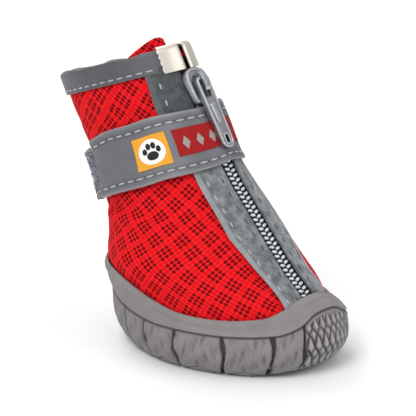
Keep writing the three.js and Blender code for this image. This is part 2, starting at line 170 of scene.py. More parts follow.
# Sections of the last from the feather edge to the collar, in millimetres: heel x and z, front
# x and z, half width, where it is widest, how square the front and the heel are.
LAST = np.array([
    (4.4, 3.4, 69.4, 3.8, 23.3, 0.50, 2.15, 1.95),
    (0.9, 16.0, 64.9, 18.5, 25.3, 0.47, 2.00, 2.00),
    (-0.7, 26.0, 56.8, 27.0, 26.2, 0.44, 1.90, 2.00),
    (-1.3, 35.0, 46.2, 39.5, 23.0, 0.44, 1.85, 2.00),
    (-5.2, 42.0, 37.2, 50.5, 18.5, 0.45, 1.90, 2.00),
    (-10.5, 50.0, 31.0, 60.5, 15.5, 0.46, 2.00, 2.00),
    (-17.5, 59.0, 23.6, 71.8, 13.5, 0.47, 2.10, 2.00),
    (-24.5, 71.5, 16.5, 85.0, 12.5, 0.47, 2.10, 2.00),
])


def curve(rows, position):
    """Smooth values through the rows of a table, with straight ends."""
    top = len(rows) - 1
    i = np.clip(np.floor(position).astype(int), 0, top - 1)
    t = (position - i).reshape(i.shape + (1,) * (rows.ndim - 1))
    a, b, c, d = (rows[np.clip(i + k, 0, top)] for k in (-1, 0, 1, 2))
    return 0.5 * (2 * b + (c - a) * t + (2 * a - 5 * b + 4 * c - d) * t**2 + (3 * b - a - 3 * c + d) * t**3)


def unit(vectors):
    return vectors / np.linalg.norm(vectors, axis=-1, keepdims=True)


def rounded_square(angle, back_reach, front_reach, half, front_square, back_square):
    """A point of a closed outline round the origin, squarer than an ellipse above 2."""
    c, s = np.cos(angle), np.sin(angle)
    power = 2 / np.where(c > 0, front_square, back_square)
    reach = np.where(c > 0, front_reach, back_reach)
    return reach * np.sign(c) * np.abs(c) ** power, half * np.sign(s) * np.abs(s) ** power


def last(level, angle):
    """The last's surface: level 0 at the feather edge to 1 at the collar, angle from the front."""
    table = np.moveaxis(curve(LAST, np.clip(level, 0, 1) * (len(LAST) - 1)), -1, 0)
    heel_x, heel_z, front_x, front_z, half, widest, front_square, heel_square = table
    middle = heel_x + widest * (front_x - heel_x)
    x, y = rounded_square(angle, middle - heel_x, front_x - middle, half, front_square, heel_square)
    z = heel_z + (front_z - heel_z) / (front_x - heel_x) * (middle + x - heel_x)
    return np.stack(np.broadcast_arrays(middle + x, y, z), -1)


def directions(level, angle):
    """Up the wall of the last, and out of it."""
    level = np.clip(level, 0.01, 0.99)
    up = unit(last(level + 0.01, angle) - last(level - 0.01, angle))
    along = unit(last(level, angle + 0.03) - last(level, angle - 0.03))
    return up, unit(np.cross(along, up))


def off(level, angle, proud, lift=0.0):
    """Points proud of the last, and lifted along its wall, in millimetres."""
    given = (np.asarray(a, float) for a in (level, angle, proud, lift))
    level, angle, proud, lift = np.broadcast_arrays(*given)
    up, out = directions(level, angle)
    return last(level, angle) + out * proud[..., None] + up * lift[..., None]


def angle_at(level, y):
    """The angle at which the last stands y to the left of its middle line."""
    table = curve(LAST, np.asarray(level, float) * (len(LAST) - 1))
    share = np.abs(y) / table[..., 4]
    return np.sign(y) * np.arcsin(np.clip(share, 0, 1) ** (table[..., 6] / 2))


def smooth(low, high, value):
    t = np.clip((value - low) / (high - low), 0, 1)
    return t * t * (3 - 2 * t)


def table_at(rows, angle):
    """A row of a table whose first column is degrees from the front, the same on both sides."""
    rows = np.array(rows)
    turn = np.degrees(np.abs((angle + pi) % (2 * pi) - pi))
    position = np.interp(turn, rows[:, 0], np.arange(len(rows)))
    return np.moveaxis(curve(rows[:, 1:], position), -1, 0)


def show(name, data, material, body="boot", replaces=()):
    """Puts a finished mesh in the scene as a piece of the boot."""
    piece = bpy.data.objects.new(name, data)
    bpy.context.collection.objects.link(piece)
    for each in material if isinstance(material, tuple) else (material,):
        data.materials.append(each)
    data.shade_smooth()
    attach(piece, body)
    if replaces:
        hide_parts(*replaces)
    return piece


def welded(data):
    """Closes a mesh's seam and its poles, and points its faces outwards."""
    shape = bmesh.new()
    shape.from_mesh(data)
    bmesh.ops.remove_doubles(shape, verts=shape.verts, dist=1e-6)
    bmesh.ops.recalc_face_normals(shape, faces=shape.faces)
    shape.to_mesh(data)
    shape.free()


def laid(name, points, weld=False):
    """A mesh of rows x columns laid on points in millimetres, with a UV map of its own lengths in
    millimetres. Welding closes its seam and its poles."""
    rows, columns = points.shape[0] - 1, points.shape[1] - 1
    shape = bmesh.new()
    bmesh.ops.create_grid(shape, x_segments=columns, y_segments=rows, size=1.0)
    data = bpy.data.meshes.new(name)
    shape.to_mesh(data)
    shape.free()
    flat = np.empty(3 * len(data.vertices))
    data.vertices.foreach_get("co", flat)
    spots = np.rint((flat.reshape(-1, 3)[:, :2] + 1) / 2 * (columns, rows)).astype(int)
    placed = points[spots[:, 1], spots[:, 0]] * MM + (HEEL_X, 0, 0)
    data.vertices.foreach_set("co", placed.ravel())
    across = np.cumsum(np.linalg.norm(np.diff(points, axis=1, prepend=points[:, :1]), axis=2), axis=1)
    along = np.cumsum(np.linalg.norm(np.diff(points, axis=0, prepend=points[:1]), axis=2), axis=0)
    lengths = np.stack([across - across[:, columns // 2:columns // 2 + 1], along], -1)
    corners = np.empty(len(data.loops), int)
    data.loops.foreach_get("vertex_index", corners)
    data.uv_layers.new(name="lengths")
    data.uv_layers["lengths"].data.foreach_set("uv", lengths[spots[corners, 1], spots[corners, 0]].ravel())
    if weld:
        welded(data)
    return data


def thicken(piece, thickness, offset=-1.0, rounding=0.0, lining=0):
    """Gives a sheet its real thickness in millimetres, and rounds its edges."""
    wall = piece.modifiers.new("wall", "SOLIDIFY")
    wall.thickness = thickness * MM
    wall.offset = offset
    wall.use_even_offset = True
    wall.material_offset = lining
    if rounding:
        edge = piece.modifiers.new("edge", "BEVEL")
        edge.width = rounding * MM
        edge.segments = 3
        edge.limit_method = "ANGLE"
        edge.angle_limit = radians(50)
    return piece


def knit(name, bright, painted_depth_shading, hole_shade, pitch):
    """Open polyester knit: round holes in rows on the bias, the pitch given in millimetres, in
    clusters of three by three with a nearly closed row between them; the sunk holes and the thread in the
    clusters carry painted shade, the crests between holes a painted highlight."""
    material, tree, shader = new_finish(name, 0.85, {"Specular IOR Level": 0.12})
    flat = add(tree, "UVMap", uv_map="lengths").outputs["UV"]
    bias = add(tree, "Mapping", {"Vector": flat, "Rotation": (0, 0, radians(38)), "Scale": (1 / pitch,) * 3})
    cluster = add(tree, "Mapping", {"Vector": bias.outputs[0], "Scale": (0.25,) * 3})
    nearest = add(tree, "TexVoronoi", {"Vector": bias.outputs[0], "Scale": 1.0, "Randomness": 0.0},
                  voronoi_dimensions="2D").outputs["Distance"]
    border = add(tree, "TexVoronoi", {"Vector": cluster.outputs[0], "Scale": 1.0, "Randomness": 0.0},
                 voronoi_dimensions="2D", distance="CHEBYCHEV").outputs["Distance"]
    open_spot = add(tree, "MapRange", {"Value": nearest, "From Min": 0.46, "From Max": 0.32}).outputs[0]
    inside = add(tree, "MapRange", {"Value": border, "From Min": 0.44, "From Max": 0.38,
                                     "To Min": 0.30}).outputs[0]
    holes = add(tree, "Math", {0: open_spot, 1: inside}, operation="MULTIPLY").outputs[0]
    uneven = add(tree, "TexNoise", {"Vector": flat, "Scale": 0.45, "Detail": 3.0}).outputs["Fac"]
    ragged = add(tree, "TexNoise", {"Vector": flat, "Scale": 2.4, "Detail": 2.0}).outputs["Fac"]
    crest = add(tree, "MapRange", {"Value": nearest, "From Min": 0.30, "From Max": 0.62}).outputs[0]
    # Painted highlight on the thread's crests between the holes.
    painted_crest_highlight = add(tree, "Math", {0: crest, 1: uneven}, operation="MULTIPLY").outputs[0]
    # Painted shade over the thread inside each cluster.
    painted_cluster_shade = add(tree, "Math", {0: inside, 1: 0.25}, operation="MULTIPLY").outputs[0]
    yarn = blend_colours(tree, painted_cluster_shade, blend_colours(tree, painted_crest_highlight, bright, "#fb2a2f"), painted_depth_shading)
    depth = add(tree, "MapRange", {"Value": ragged, "From Min": 0.3, "From Max": 0.7,
                                   "To Min": 0.68, "To Max": 1.0}).outputs[0]
    shade = add(tree, "Math", {0: holes, 1: depth}, operation="MULTIPLY").outputs[0]
    # Painted shade in the holes, its depth uneven.
    tree.links.new(blend_colours(tree, shade, yarn, hole_shade), shader.inputs["Base Color"])
    sink = add(tree, "Math", {0: holes, 1: inside}, operation="ADD").outputs[0]
    height = add(tree, "Math", {0: crest, 1: sink}, operation="SUBTRACT").outputs[0]
    bump = add(tree, "Bump", {"Height": height, "Strength": 0.5, "Distance": 0.25 * MM})
    tree.links.new(bump.outputs[0], shader.inputs["Normal"])
    return material


# The yarn's red, the painted shade of the clusters and the painted shade in the holes.
red_knit = knit("red_open_knit", "#ee121b", "#b8070f", "#2c0103", 1.4)

# Brushed tricot backing: fine and closed, a duller red than the face.
red_lining, tree, shader = new_finish("red_tricot_lining", 0.9, {"Sheen Weight": 0.3})
flat = add(tree, "UVMap", uv_map="lengths").outputs["UV"]
ribs = add(tree, "TexWave", {"Vector": flat, "Scale": 0.55, "Distortion": 1.2, "Detail": 1.0}).outputs["Fac"]
tree.links.new(blend_colours(tree, ribs, "#a30d12", "#bd1217"), shader.inputs["Base Color"])
bump = add(tree, "Bump", {"Height": ribs, "Strength": 0.3, "Distance": 0.15 * MM})
tree.links.new(bump.outputs[0], shader.inputs["Normal"])

# Creases listed one by one, on both sides: level, degrees from the front, half length and half width in
# millimetres, how far the crease climbs along its length, and its depth; a ridge has a minus.
CREASES = [
    (0.470, 70, 13, 2.2, 0.25, 0.70),
    (0.430, 72, 12, 2.4, 0.20, -0.55),
    (0.500, 118, 12, 2.0, -0.20, 0.50),
    (0.465, 122, 12, 2.4, -0.10, -0.30),
    (0.400, 108, 10, 2.0, -0.35, 0.45),
    (0.520, 38, 8, 1.8, 0.50, 0.50),
    (0.360, 46, 11, 3.0, 0.60, 0.35),
    (0.300, 96, 14, 3.4, -0.15, -0.40),
    (0.850, 84, 10, 2.0, 0.15, 0.50),
    (0.885, 100, 12, 2.2, 0.10, -0.20),
    (0.860, 140, 9, 2.0, -0.20, 0.25),
    (0.240, 140, 10, 3.0, 0.30, 0.35),
    (0.470, 165, 9, 2.4, 0.05, 0.55),
]
GIRTH = 21.0      # about the radius of the last round the foot and the leg
CLIMB = 92.0      # about the length of the last's wall at the front, feather edge to collar


def creased(level, angle):
    """How far the cloth stands proud of the last."""
    turn = np.abs((angle + pi) % (2 * pi) - pi)
    proud = np.zeros(np.broadcast(level, angle).shape)
    for at, degrees, length, width, climb, depth in CREASES:
        along = (turn - radians(degrees)) * GIRTH
        across = (level - at) * CLIMB - climb * along
        proud -= depth * np.exp(-((along / length) ** 2) - (across / width) ** 2)
    return proud * smooth(0.12, 0.25, level) * smooth(0.97, 0.90, level)


SLOT = 3.4        # half the width of the opening that the zip closes
CUT = 4.6         # the knit is cut back under the facings, clear of the zip
level = np.linspace(0.0, COLLAR, 131)[:, None]
edge = angle_at(level, CUT * smooth(0.150, 0.172, level))
angle = np.linspace(0, 2 * pi, 201)[None, :]
angle = angle + edge * (smooth(0.6, 0.0, angle) - smooth(2 * pi - 0.6, 2 * pi, angle))
upper = show("mesh_upper", laid("mesh_upper", off(level, angle, creased(level, angle))),
             (red_knit, red_lining), replaces=["upper"])
thicken(upper, WALL, lining=1)

# ---------------------------------------------------------------- cup sole
# The sole is one moulding of warm grey rubber. A smooth rim band is bonded round the foot and
# climbs over the toe; under its groove stand crinkled lugs between upright cuts, and the toe and
# heel bumpers carry a lattice of diamonds.

SOLE_HEEL, SOLE_TOE, SOLE_HALF = -2.6, 74.0, 28.0
SOLE_MIDDLE = (SOLE_HEEL + SOLE_TOE) / 2
SOLE_FLOOR = 3.0
INSIDE = 0.25
TREAD_RISE = 1.5
CUTS = [20, 38, 62, 86, 106, 122, 140]
TOE_LATTICE, HEEL_LATTICE = 20, 140

# Degrees from the toe; height and inset of the groove; level of the band's top edge.
RIM = [
    (0, 17.8, 3.2, 0.168), (11, 17.2, 2.8, 0.160), (22, 14.8, 1.4, 0.140), (34, 13.0, 0.8, 0.124),
    (60, 12.3, 0.5, 0.122), (80, 12.2, 0.4, 0.135), (92, 12.2, 0.3, 0.172), (102, 12.3, 0.2, 0.215),
    (114, 12.8, 0.1, 0.248), (130, 13.6, 0.0, 0.262), (150, 14.6, 0.0, 0.268), (180, 15.0, 0.0, 0.270),
]


def tread_z(x):
    """The tread lifts off the ground towards the toe and a little at the heel."""
    return 0.0082 * np.maximum(x - 54, 0) ** 2 + 0.019 * np.maximum(12 - x, 0) ** 2


def sole_outline(angle, inset):
    reach = (SOLE_TOE - SOLE_HEEL) / 2 - inset
    x, y = rounded_square(angle, reach, reach, SOLE_HALF - 0.8 * inset, 2.0, 1.8)
    return SOLE_MIDDLE + x, y


def sole_point(angle, inset, z):
    x, y = sole_outline(angle, inset)
    return np.stack(np.broadcast_arrays(x, y, z), -1)


def tread_point(angle, inset, rise):
    x, y = sole_outline(angle, inset)
    return np.stack(np.broadcast_arrays(x, y, tread_z(x) + rise), -1)


# Columns stand closer together at the bumpers, where the lattice needs them.
turns = np.linspace(0, 2 * pi, 7201)
ring = sole_point(turns, 0.6, 0.0)
steps = np.linalg.norm(np.diff(ring, axis=0), axis=1)
girth = np.concatenate([[0], np.cumsum(steps)])
degrees_out = np.degrees(np.abs((turns[1:] + pi) % (2 * pi) - pi))
density = np.where((degrees_out < TOE_LATTICE + 2) | (degrees_out > HEEL_LATTICE - 2), 1.8, 1.0)
crowd = np.concatenate([[0], np.cumsum(steps * density)])
around = np.interp(np.linspace(0, crowd[-1], 801), crowd, turns)
run = np.interp(around, turns, girth)
run = np.minimum(run, girth[-1] - run)            # millimetres from the toe round either side


def spread(stations, counts):
    """Rows of points between stations, straight from one to the next."""
    rows = [stations[0]]
    for first, second, count in zip(stations, stations[1:], counts):
        rows += [first + (second - first) * k / count for k in range(1, count + 1)]
    return np.array(rows)


def lines(distance, half):
    return np.exp(-((distance / half) ** 2))


groove_z, groove_inset, rim_level = table_at(RIM, around)
heelward = (1 - np.cos(around)) / 2
band_gap = 0.3 + 1.6 - 0.6 * heelward
band_low = sole_point(around, groove_inset + 0.3, groove_z + 0.6)
band_top = off(rim_level - 0.012, around, band_gap)
band_mid = (band_low + band_top) / 2 + directions(rim_level, around)[1] * 0.45

side = np.array([
    tread_point(around, 8.9, 0.0),
    tread_point(around, 6.4, 0.0),
    sole_point(around, 3.0, 0.20 * groove_z),
    sole_point(around, 0.6, 0.52 * groove_z),
    sole_point(around, groove_inset, groove_z - 0.5),
])
SIDE_ROWS = 52
side_rows = curve(side, np.linspace(0, len(side) - 1, SIDE_ROWS + 1))
centre = np.broadcast_to([SOLE_MIDDLE, 0, TREAD_RISE], side_rows[0].shape)
under = spread([centre, tread_point(around, 20.0, TREAD_RISE), tread_point(around, 9.3, TREAD_RISE)], [3, 8])
BAND_ROWS = 19
up_band = np.linspace(0, 1, BAND_ROWS)[:, None]
band = curve(np.array([band_low, band_mid, band_top]), np.linspace(0, 2, BAND_ROWS))
lip = 0.30 * lines(up_band - 0.86, 0.09) - 0.24 * lines(up_band - 0.66, 0.07)
band += lip[..., None] * directions(rim_level, around)[1]
rim = spread([band_top, off(rim_level, around, band_gap - 0.5), off(rim_level, around, INSIDE + 0.2)], [2, 2])
wall_levels = rim_level[None, :] + (0.008 - rim_level[None, :]) * np.linspace(0.04, 1, 9)[:, None]
wall = off(wall_levels, around[None, :], INSIDE)
floor_edge = off(0.0 * around, around, INSIDE)
floor_edge[:, 2] = SOLE_FLOOR
floor_rows = spread([floor_edge, np.broadcast_to([SOLE_MIDDLE, 0, SOLE_FLOOR], floor_edge.shape)], [4])
groove = sole_point(around, groove_inset + 0.8, groove_z + 0.1)[None]
cup = np.concatenate([under, side_rows, groove, band, rim[1:], wall, floor_rows])


def to_nearest(value):
    return np.abs(value - np.round(value))


# Relief of the side, by rows from the tread up to the groove.
height = np.cumsum(np.linalg.norm(np.diff(side_rows, axis=0, prepend=side_rows[:1]), axis=2), axis=0)
turn_out = np.degrees(np.abs((around + pi) % (2 * pi) - pi))[None, :]
here = run[None, :]
cut_runs = np.interp(np.radians(CUTS), turns, girth)
sway = 0.35 * np.sin(0.55 * height + here)
nearest_cut = np.min(np.abs(here + sway - cut_runs[:, None, None]), axis=0)
cuts = 1.5 * smooth(0.75, 0.30, nearest_cut)
leftward = np.where(around < pi, 0.0, 1.7)[None, :]
crinkle = np.zeros_like(height)
# Each fold of the crinkle: its pitch, how far it wanders and its depth in millimetres; third, its phase
# in radians.
# The order is pitch, wander, phase, depth.
FOLDS = ((2.9, 0.50, 0.0, 0.33), (1.9, 0.85, 1.3, 0.28), (1.25, 1.25, 2.6, 0.22))
for pitch, sweep_by, phase, depth in FOLDS:
    wander = sweep_by * np.sin(0.62 * height + phase + 0.35 * here + leftward)
    crinkle += depth * (1 - np.abs(np.sin(pi * (here + wander) / pitch + phase + leftward)))
crinkle *= 0.65 + 0.35 * np.sin(0.9 * height + 0.8 * here)
lattice = np.zeros_like(height)
for lean in (-1, 1):
    phase = here / 2.7 + lean * (height / 5.4 + 0.10 * np.sin(1.1 * height))
    lattice = np.maximum(lattice, lines(to_nearest(phase) * 2.4, 0.30))
squares = np.zeros_like(height)
block_middles = (cut_runs[1:] + cut_runs[:-1]) / 2
block_halves = (cut_runs[1:] - cut_runs[:-1]) / 2
for middle, half in zip(block_middles, block_halves):
    square = np.abs(here - middle) / (0.72 * half) + np.abs(height - 3.0) / 2.3
    squares = np.maximum(squares, lines((square - 1) * 2.0, 0.30))
bumper = np.maximum(smooth(TOE_LATTICE, TOE_LATTICE - 1.5, turn_out),
                    smooth(HEEL_LATTICE, HEEL_LATTICE + 1.5, turn_out))
on_side = smooth(4.5, 6.5, height)
top_fade = smooth(0.0, 1.2, height[-1] - height)
between = on_side * crinkle + (1 - on_side) * 0.6 * squares
relief = bumper * 1.15 * lattice * top_fade + (1 - bumper) * between
relief = np.maximum(relief, cuts)

out = np.cross(np.gradient(side_rows, axis=1), np.gradient(side_rows, axis=0))
out = unit(np.where(np.linalg.norm(out, axis=2, keepdims=True) > 0, out, (0, 0, -1)))
first = len(under)
cup[first:first + SIDE_ROWS + 1] -= out * relief[..., None]
nicks = 0.10 * np.sin(2.3 * run + 1.1 * np.sin(0.9 * run)) * np.sin(0.7 * run)
band_first = first + SIDE_ROWS + 2
cup[band_first:band_first + BAND_ROWS, :, 2] += nicks * smooth(0.5, 1.0, up_band)
cup[..., 2] = np.maximum(cup[..., 2], 0.0)


def store(mesh, name, values):
    """Keeps a value for each point of a laid sheet, for its material to read."""
    mesh.attributes.new(name, "FLOAT", "POINT")
    mesh.attributes[name].data.foreach_set("value", values.ravel())


cup_mesh = laid("cup_sole", cup)
# Painted light for each point of the cup: plus values paint shade in the cuts, crinkles, lattice lines, the
# tread's edge and the groove; minus values paint a highlight on the bumpers' raised cells.
painted_relief_light = np.zeros(cup.shape[:2])
painted_relief_light[first:first + SIDE_ROWS + 1] = relief - 0.28 * bumper * top_fade * (relief < 0.25)
painted_relief_light[first - 6:first] = 0.8
painted_relief_light[band_first - 1] = 1.2
store(cup_mesh, "painted_relief_light", painted_relief_light)
welded(cup_mesh)

# Moulded rubber, matt from a sand-blasted mould: a warm grey with a fine grain of about a quarter of a
# millimetre;
# a painted highlight pales the bumpers' raised cells, and painted shade darkens the sunk relief, the tread's
# edge and the groove.
grey_rubber, tree, shader = new_finish("moulded_grey_rubber", 0.78, {"Specular IOR Level": 0.35})
place = add(tree, "TexCoord").outputs["Object"]
painted_depth_shading = add(tree, "Attribute", attribute_name="painted_relief_light").outputs["Fac"]
cloud = add(tree, "TexNoise", {"Vector": place, "Scale": 160.0, "Detail": 4.0}).outputs["Fac"]
grain = add(tree, "TexNoise", {"Vector": place, "Scale": 2400.0, "Detail": 2.0}).outputs["Fac"]
body_tone = blend_colours(tree, cloud, "#7b7877", "#9b9897")
speckled = blend_colours(tree, grain, "#6b6867", body_tone)
mixed = add(tree, "Mix", {0: 0.65, 6: body_tone, 7: speckled}, data_type="RGBA").outputs[2]
# Painted shade where the relief is sunk.
sunk = add(tree, "MapRange", {"Value": painted_depth_shading, "From Min": 0.12, "From Max": 1.0, "To Max": 0.9}).outputs[0]
# Painted highlight on the raised cells.
painted_raised_highlight = add(tree, "MapRange", {"Value": painted_depth_shading, "From Min": 0.0, "From Max": -1.0}).outputs[0]
with_raised_highlight = blend_colours(tree, painted_raised_highlight, mixed, "#cbc8c6")
tree.links.new(blend_colours(tree, sunk, with_raised_highlight, "#3f3b38"), shader.inputs["Base Color"])
height_mix = add(tree, "Math", {0: grain, 1: cloud}, operation="ADD").outputs[0]
bump = add(tree, "Bump", {"Height": height_mix, "Strength": 0.35, "Distance": 0.15 * MM})
tree.links.new(bump.outputs[0], shader.inputs["Normal"])
show("cup_sole", cup_mesh, grey_rubber, replaces=["outsole"])

# ---------------------------------------------------------------- tread
# Under the foot the rubber carries separate low islands: an oval of hexagons, rings and chevroned
# leaves in the middle, dimpled triangles before and behind it, and squares round its sides.


def island(outline, base=TREAD_RISE + 0.15, dimple=0.0):
    """A low block on the sole from an outline in plan, with its edge eased."""
    block = bmesh.new()
    top = block.faces.new([block.verts.new((x, y, 0.0)) for x, y in outline])
    block.normal_update()
    if top.normal.z > 0:
        bmesh.ops.reverse_faces(block, faces=[top])
    if dimple:
        bmesh.ops.inset_individual(block, faces=[top], thickness=dimple)
        bmesh.ops.inset_individual(block, faces=[top], thickness=0.15, depth=-0.7)
    rim_edges = [e for e in block.edges if e.is_boundary]
    bmesh.ops.bevel(block, geom=rim_edges, offset=0.12, affect="EDGES", segments=1, profile=0.5, material=-1)
    rim_edges = [e for e in block.edges if e.is_boundary]
    walls = bmesh.ops.extrude_edge_only(block, edges=rim_edges)["geom"]
    foot = [v for v in walls if isinstance(v, bmesh.types.BMVert)]
    bmesh.ops.translate(block, verts=foot, vec=(0, 0, base))
    for vert in block.verts:
        vert.co.z += float(tread_z(vert.co.x))
        vert.co = Vector((vert.co.x * MM + HEEL_X, vert.co.y * MM, vert.co.z * MM))
    return block


def polygon(x, y, radius, sides, turned=0.0, stretch=1.0):
    spread_out = [turned + 2 * pi * k / sides for k in range(sides)]
    return [(x + radius * cos(a), y + stretch * radius * sin(a)) for a in spread_out]


islands = bmesh.new()


def keep(block):
    held = bpy.data.meshes.new("held")
    block.to_mesh(held)
    block.free()
    islands.from_mesh(held)
    bpy.data.meshes.remove(held)


OVAL = {"x": 42.5, "reach": 12.8, "half": 12.6}
for k in range(4):
    keep(island(polygon(OVAL["x"] - 7.8 + 5.2 * k, 0.0, 2.35, 6)))

# The quarter with the rings: a plate with two rings on it.
ring_plate = [(43.6, 3.0), (52.6, 3.0), (53.4, 5.2), (51.6, 8.8), (48.0, 11.4), (43.6, 12.2)]
keep(island(ring_plate, TREAD_RISE + 0.1))

# The other quarters are leaves, each a row of bars bent at the leaf's middle line.
LEAVES = [
    ((33.2, 4.4), (40.6, 9.6), 3.0), ((36.4, 3.2), (42.2, 8.4), 2.0), ((43.8, -3.2), (52.2, -6.6), 2.8),
    ((43.6, -6.0), (48.6, -10.2), 2.4), ((32.6, -4.2), (40.8, -5.0), 2.4), ((34.4, -6.6), (41.4, -10.2), 2.4),
]
for (x0, y0), (x1, y1), width in LEAVES:
    length = ((x1 - x0) ** 2 + (y1 - y0) ** 2) ** 0.5
    ux, uy = (x1 - x0) / length, (y1 - y0) / length
    count = int(length / 0.95)
    for k in range(count):
        t = (k + 0.5) / count
        half = width * sin(pi * (0.12 + 0.80 * t)) * 0.75
        for turn_side in (-1, 1):
            reach = [(0.0, -0.24), (half, 0.66), (half, 1.14), (0.0, 0.24)]
            bar = [(x0 + ux * (t * length - b) - uy * a * turn_side,
                    y0 + uy * (t * length - b) + ux * a * turn_side) for a, b in reach]
            keep(island(bar, TREAD_RISE + 0.1))

# Dimpled triangles before and behind the oval, and the lens between.
for x, y, radius, turned in (
        (59.8, 3.0, 3.0, 0.0), (59.8, -3.0, 3.0, 0.0), (62.3, 7.6, 2.9, pi), (62.3, -7.6, 2.9, pi),
        (57.0, 9.6, 2.8, 0.4), (57.0, -9.6, 2.8, -0.4), (57.4, 14.6, 2.8, 3.5), (57.4, -14.6, 2.8, -3.5),
        (25.6, 4.8, 3.6, 0.9), (25.6, -4.8, 3.6, -0.9), (20.6, 2.8, 2.7, pi / 2), (20.6, -2.8, 2.7, -pi / 2),
        (22.6, 11.0, 3.0, 0.3), (22.6, -11.0, 3.0, -0.3), (18.4, 8.0, 2.7, 3.6), (18.4, -8.0, 2.7, -3.6),
        (26.6, 15.6, 2.8, 3.3), (26.6, -15.6, 2.8, -3.3), (12.6, 8.2, 2.8, 0.0), (12.6, -8.2, 2.8, 0.0)):
    keep(island(polygon(x, y, radius, 3, turned), dimple=0.75))
lens = [(29.0 + 1.5 * sin(pi * k / 6), -4.2 + 1.4 * k) for k in range(7)]
keep(island(lens + [(2 * 29.0 - x, y) for x, y in lens[-2:0:-1]]))

# Squares and diamonds round the oval.
for k, degrees in enumerate((48, 68, 90, 112, 132)):
    for turn_side in (-1, 1):
        a = radians(degrees) * turn_side
        x = OVAL["x"] + (OVAL["reach"] + 4.0) * cos(a)
        y = (OVAL["half"] + 4.3) * sin(a)
        keep(island(polygon(x, y, 3.0 if k % 2 else 2.7, 4, a if k % 2 else a + pi / 4)))

# The heel's lattice runs forward between two straight channels.
for row in range(4):
    for column in range(3 - row % 2):
        x = 8.6 + 2.3 * row
        y = (column - (2 - row % 2) / 2) * 3.1
        keep(island(polygon(x, y, 1.9, 4, 0.0, 0.72)))

bmesh.ops.recalc_face_normals(islands, faces=islands.faces)
tread_mesh = bpy.data.meshes.new("tread_islands")
islands.to_mesh(tread_mesh)
islands.free()
show("tread_islands", tread_mesh, grey_rubber)
tread_mesh.shade_flat()

ring_rows = []
for radius in (3.6, 2.2):
    a = np.linspace(0, 2 * pi, 49)[None, :]
    r = radius + np.array([-0.30, -0.22, 0.22, 0.30, -0.30])[:, None]
    z = np.array([0.5, 0.0, 0.0, 0.5, 0.5])[:, None] - 0.12
    x, y = 48.0 + r * np.cos(a), 7.0 + r * np.sin(a)
    ring_rows.append(np.stack(np.broadcast_arrays(x, y, tread_z(x) + z), -1))
for number, points in enumerate(ring_rows):
    ring_mesh = laid("tread_ring", points + (0, 0, 0.12), weld=True)
    show(f"tread_ring_{number + 1}", ring_mesh, grey_rubber)

# ---------------------------------------------------------------- insole
# A loose pad of dark grey needle felt lies on the floor of the cup, its edge pressed thin.

INSOLE_SIDE = 1.0    # how far the pad stands in from the wall, in millimetres
INSOLE_LOW = 3.3
angle = np.linspace(0, 2 * pi, 129)
pad_edge = off(0.0 * angle, angle, -WALL - INSOLE_SIDE)
pad_middle = np.array([SOLE_MIDDLE, 0, 0])
pad_rows = []
for share, rise in ((0.0, 0.0), (0.5, 0.0), (0.97, 0.0), (1.0, 0.5), (1.0, 1.3), (0.975, 2.0), (0.94, 2.2),
                    (0.7, 2.15), (0.35, 2.05), (0.0, 2.0)):
    row = pad_middle + (pad_edge - pad_middle) * share
    row[:, 2] = INSOLE_LOW + rise
    pad_rows.append(row)

# Needle felt: matt tangled fibre about 0.3 mm across, mid and dark grey.
grey_felt, tree, shader = new_finish("grey_needle_felt", 0.95, {"Sheen Weight": 0.4})
place = add(tree, "TexCoord").outputs["Object"]
fibre = add(tree, "TexNoise", {"Vector": place, "Scale": 1400.0, "Detail": 4.0,
                               "Distortion": 1.5}).outputs["Fac"]
tree.links.new(blend_colours(tree, fibre, "#26262a", "#57585c"), shader.inputs["Base Color"])
bump = add(tree, "Bump", {"Height": fibre, "Strength": 0.5, "Distance": 0.2 * MM})
tree.links.new(bump.outputs[0], shader.inputs["Normal"])
insole = show("felt_insole", laid("felt_insole", np.array(pad_rows), weld=True), grey_felt,
              replaces=["insole"])

# ---------------------------------------------------------------- tongue
# A guard of the same knit lies behind the zip, wider than the opening. Its free edge is turned
# and stands above the collar as a shallow dome.

TONGUE_SIDE = radians(65)
t = np.linspace(0, 1, 61)[:, None]
w = np.linspace(-1, 1, 57)[None, :]
level = 0.40 + 0.60 * t + 0 * w
inside = -WALL - 0.5 - smooth(0.80, 0.92, level)
right, left = (off(level, side_angle, inside) for side_angle in (-TONGUE_SIDE, TONGUE_SIDE))
straight = right + (left - right) * ((w + 1) / 2)[..., None]
stand = (0.24 * smooth(0.60, 0.98, level))[..., None]
up, outward = directions(level, w * TONGUE_SIDE)
facing = unit(outward * (1 - stand) + directions(level, 0.0 * w)[1] * stand)
lift = (4.1 - 4.6 * w**2) * smooth(0.8, 1.0, t)
wrapped = off(level, w * TONGUE_SIDE, inside)
dent = 0.25 * np.sin(5 * w + 3 * t) * smooth(0.5, 0.9, t)
tongue_points = wrapped * (1 - stand) + straight * stand + up * lift[..., None] - facing * dent[..., None]
tongue = show("mesh_tongue", laid("mesh_tongue", tongue_points), (red_knit, red_lining),
              replaces=["tongue"])
thicken(tongue, 1.3, rounding=0.45, lining=1)

# ---------------------------------------------------------------- facings
# Two strips of grey microfibre suede are sewn over the edges of the opening, from the toe band
# up to the collar. Each has a dark row of stitches near the zip and a pale one near its outer edge.

# Level, and how far out from the middle line the strip's outer edge stands.
FACING_EDGE = np.array([(0.120, 8.5), (0.264, 9.0), (0.389, 11.2), (0.529, 10.4), (0.604, 9.9), (0.829, 10.2),
                        (0.945, 9.3)])
FACING_INNER = 2.8
FACING_THICK = 0.7


def facing_points(level, share, side, proud=0.0):
    """A point of a facing: share 0 at the zip to 1 at its outer edge, on either side."""
    outer = np.interp(level, FACING_EDGE[:, 0], FACING_EDGE[:, 1])
    y = FACING_INNER + (outer - FACING_INNER) * share
    ripple = 0.16 * np.sin(70 * level + side) * np.exp(-(((share - 0.5) / 0.3) ** 2))
    bead = (0.28 * lines(share - 0.93, 0.06) - 0.16 * lines(share - 0.74, 0.07)) * smooth(0.91, 0.86, level)
    return off(level, side * angle_at(level, y), 0.08 + ripple + bead + proud)


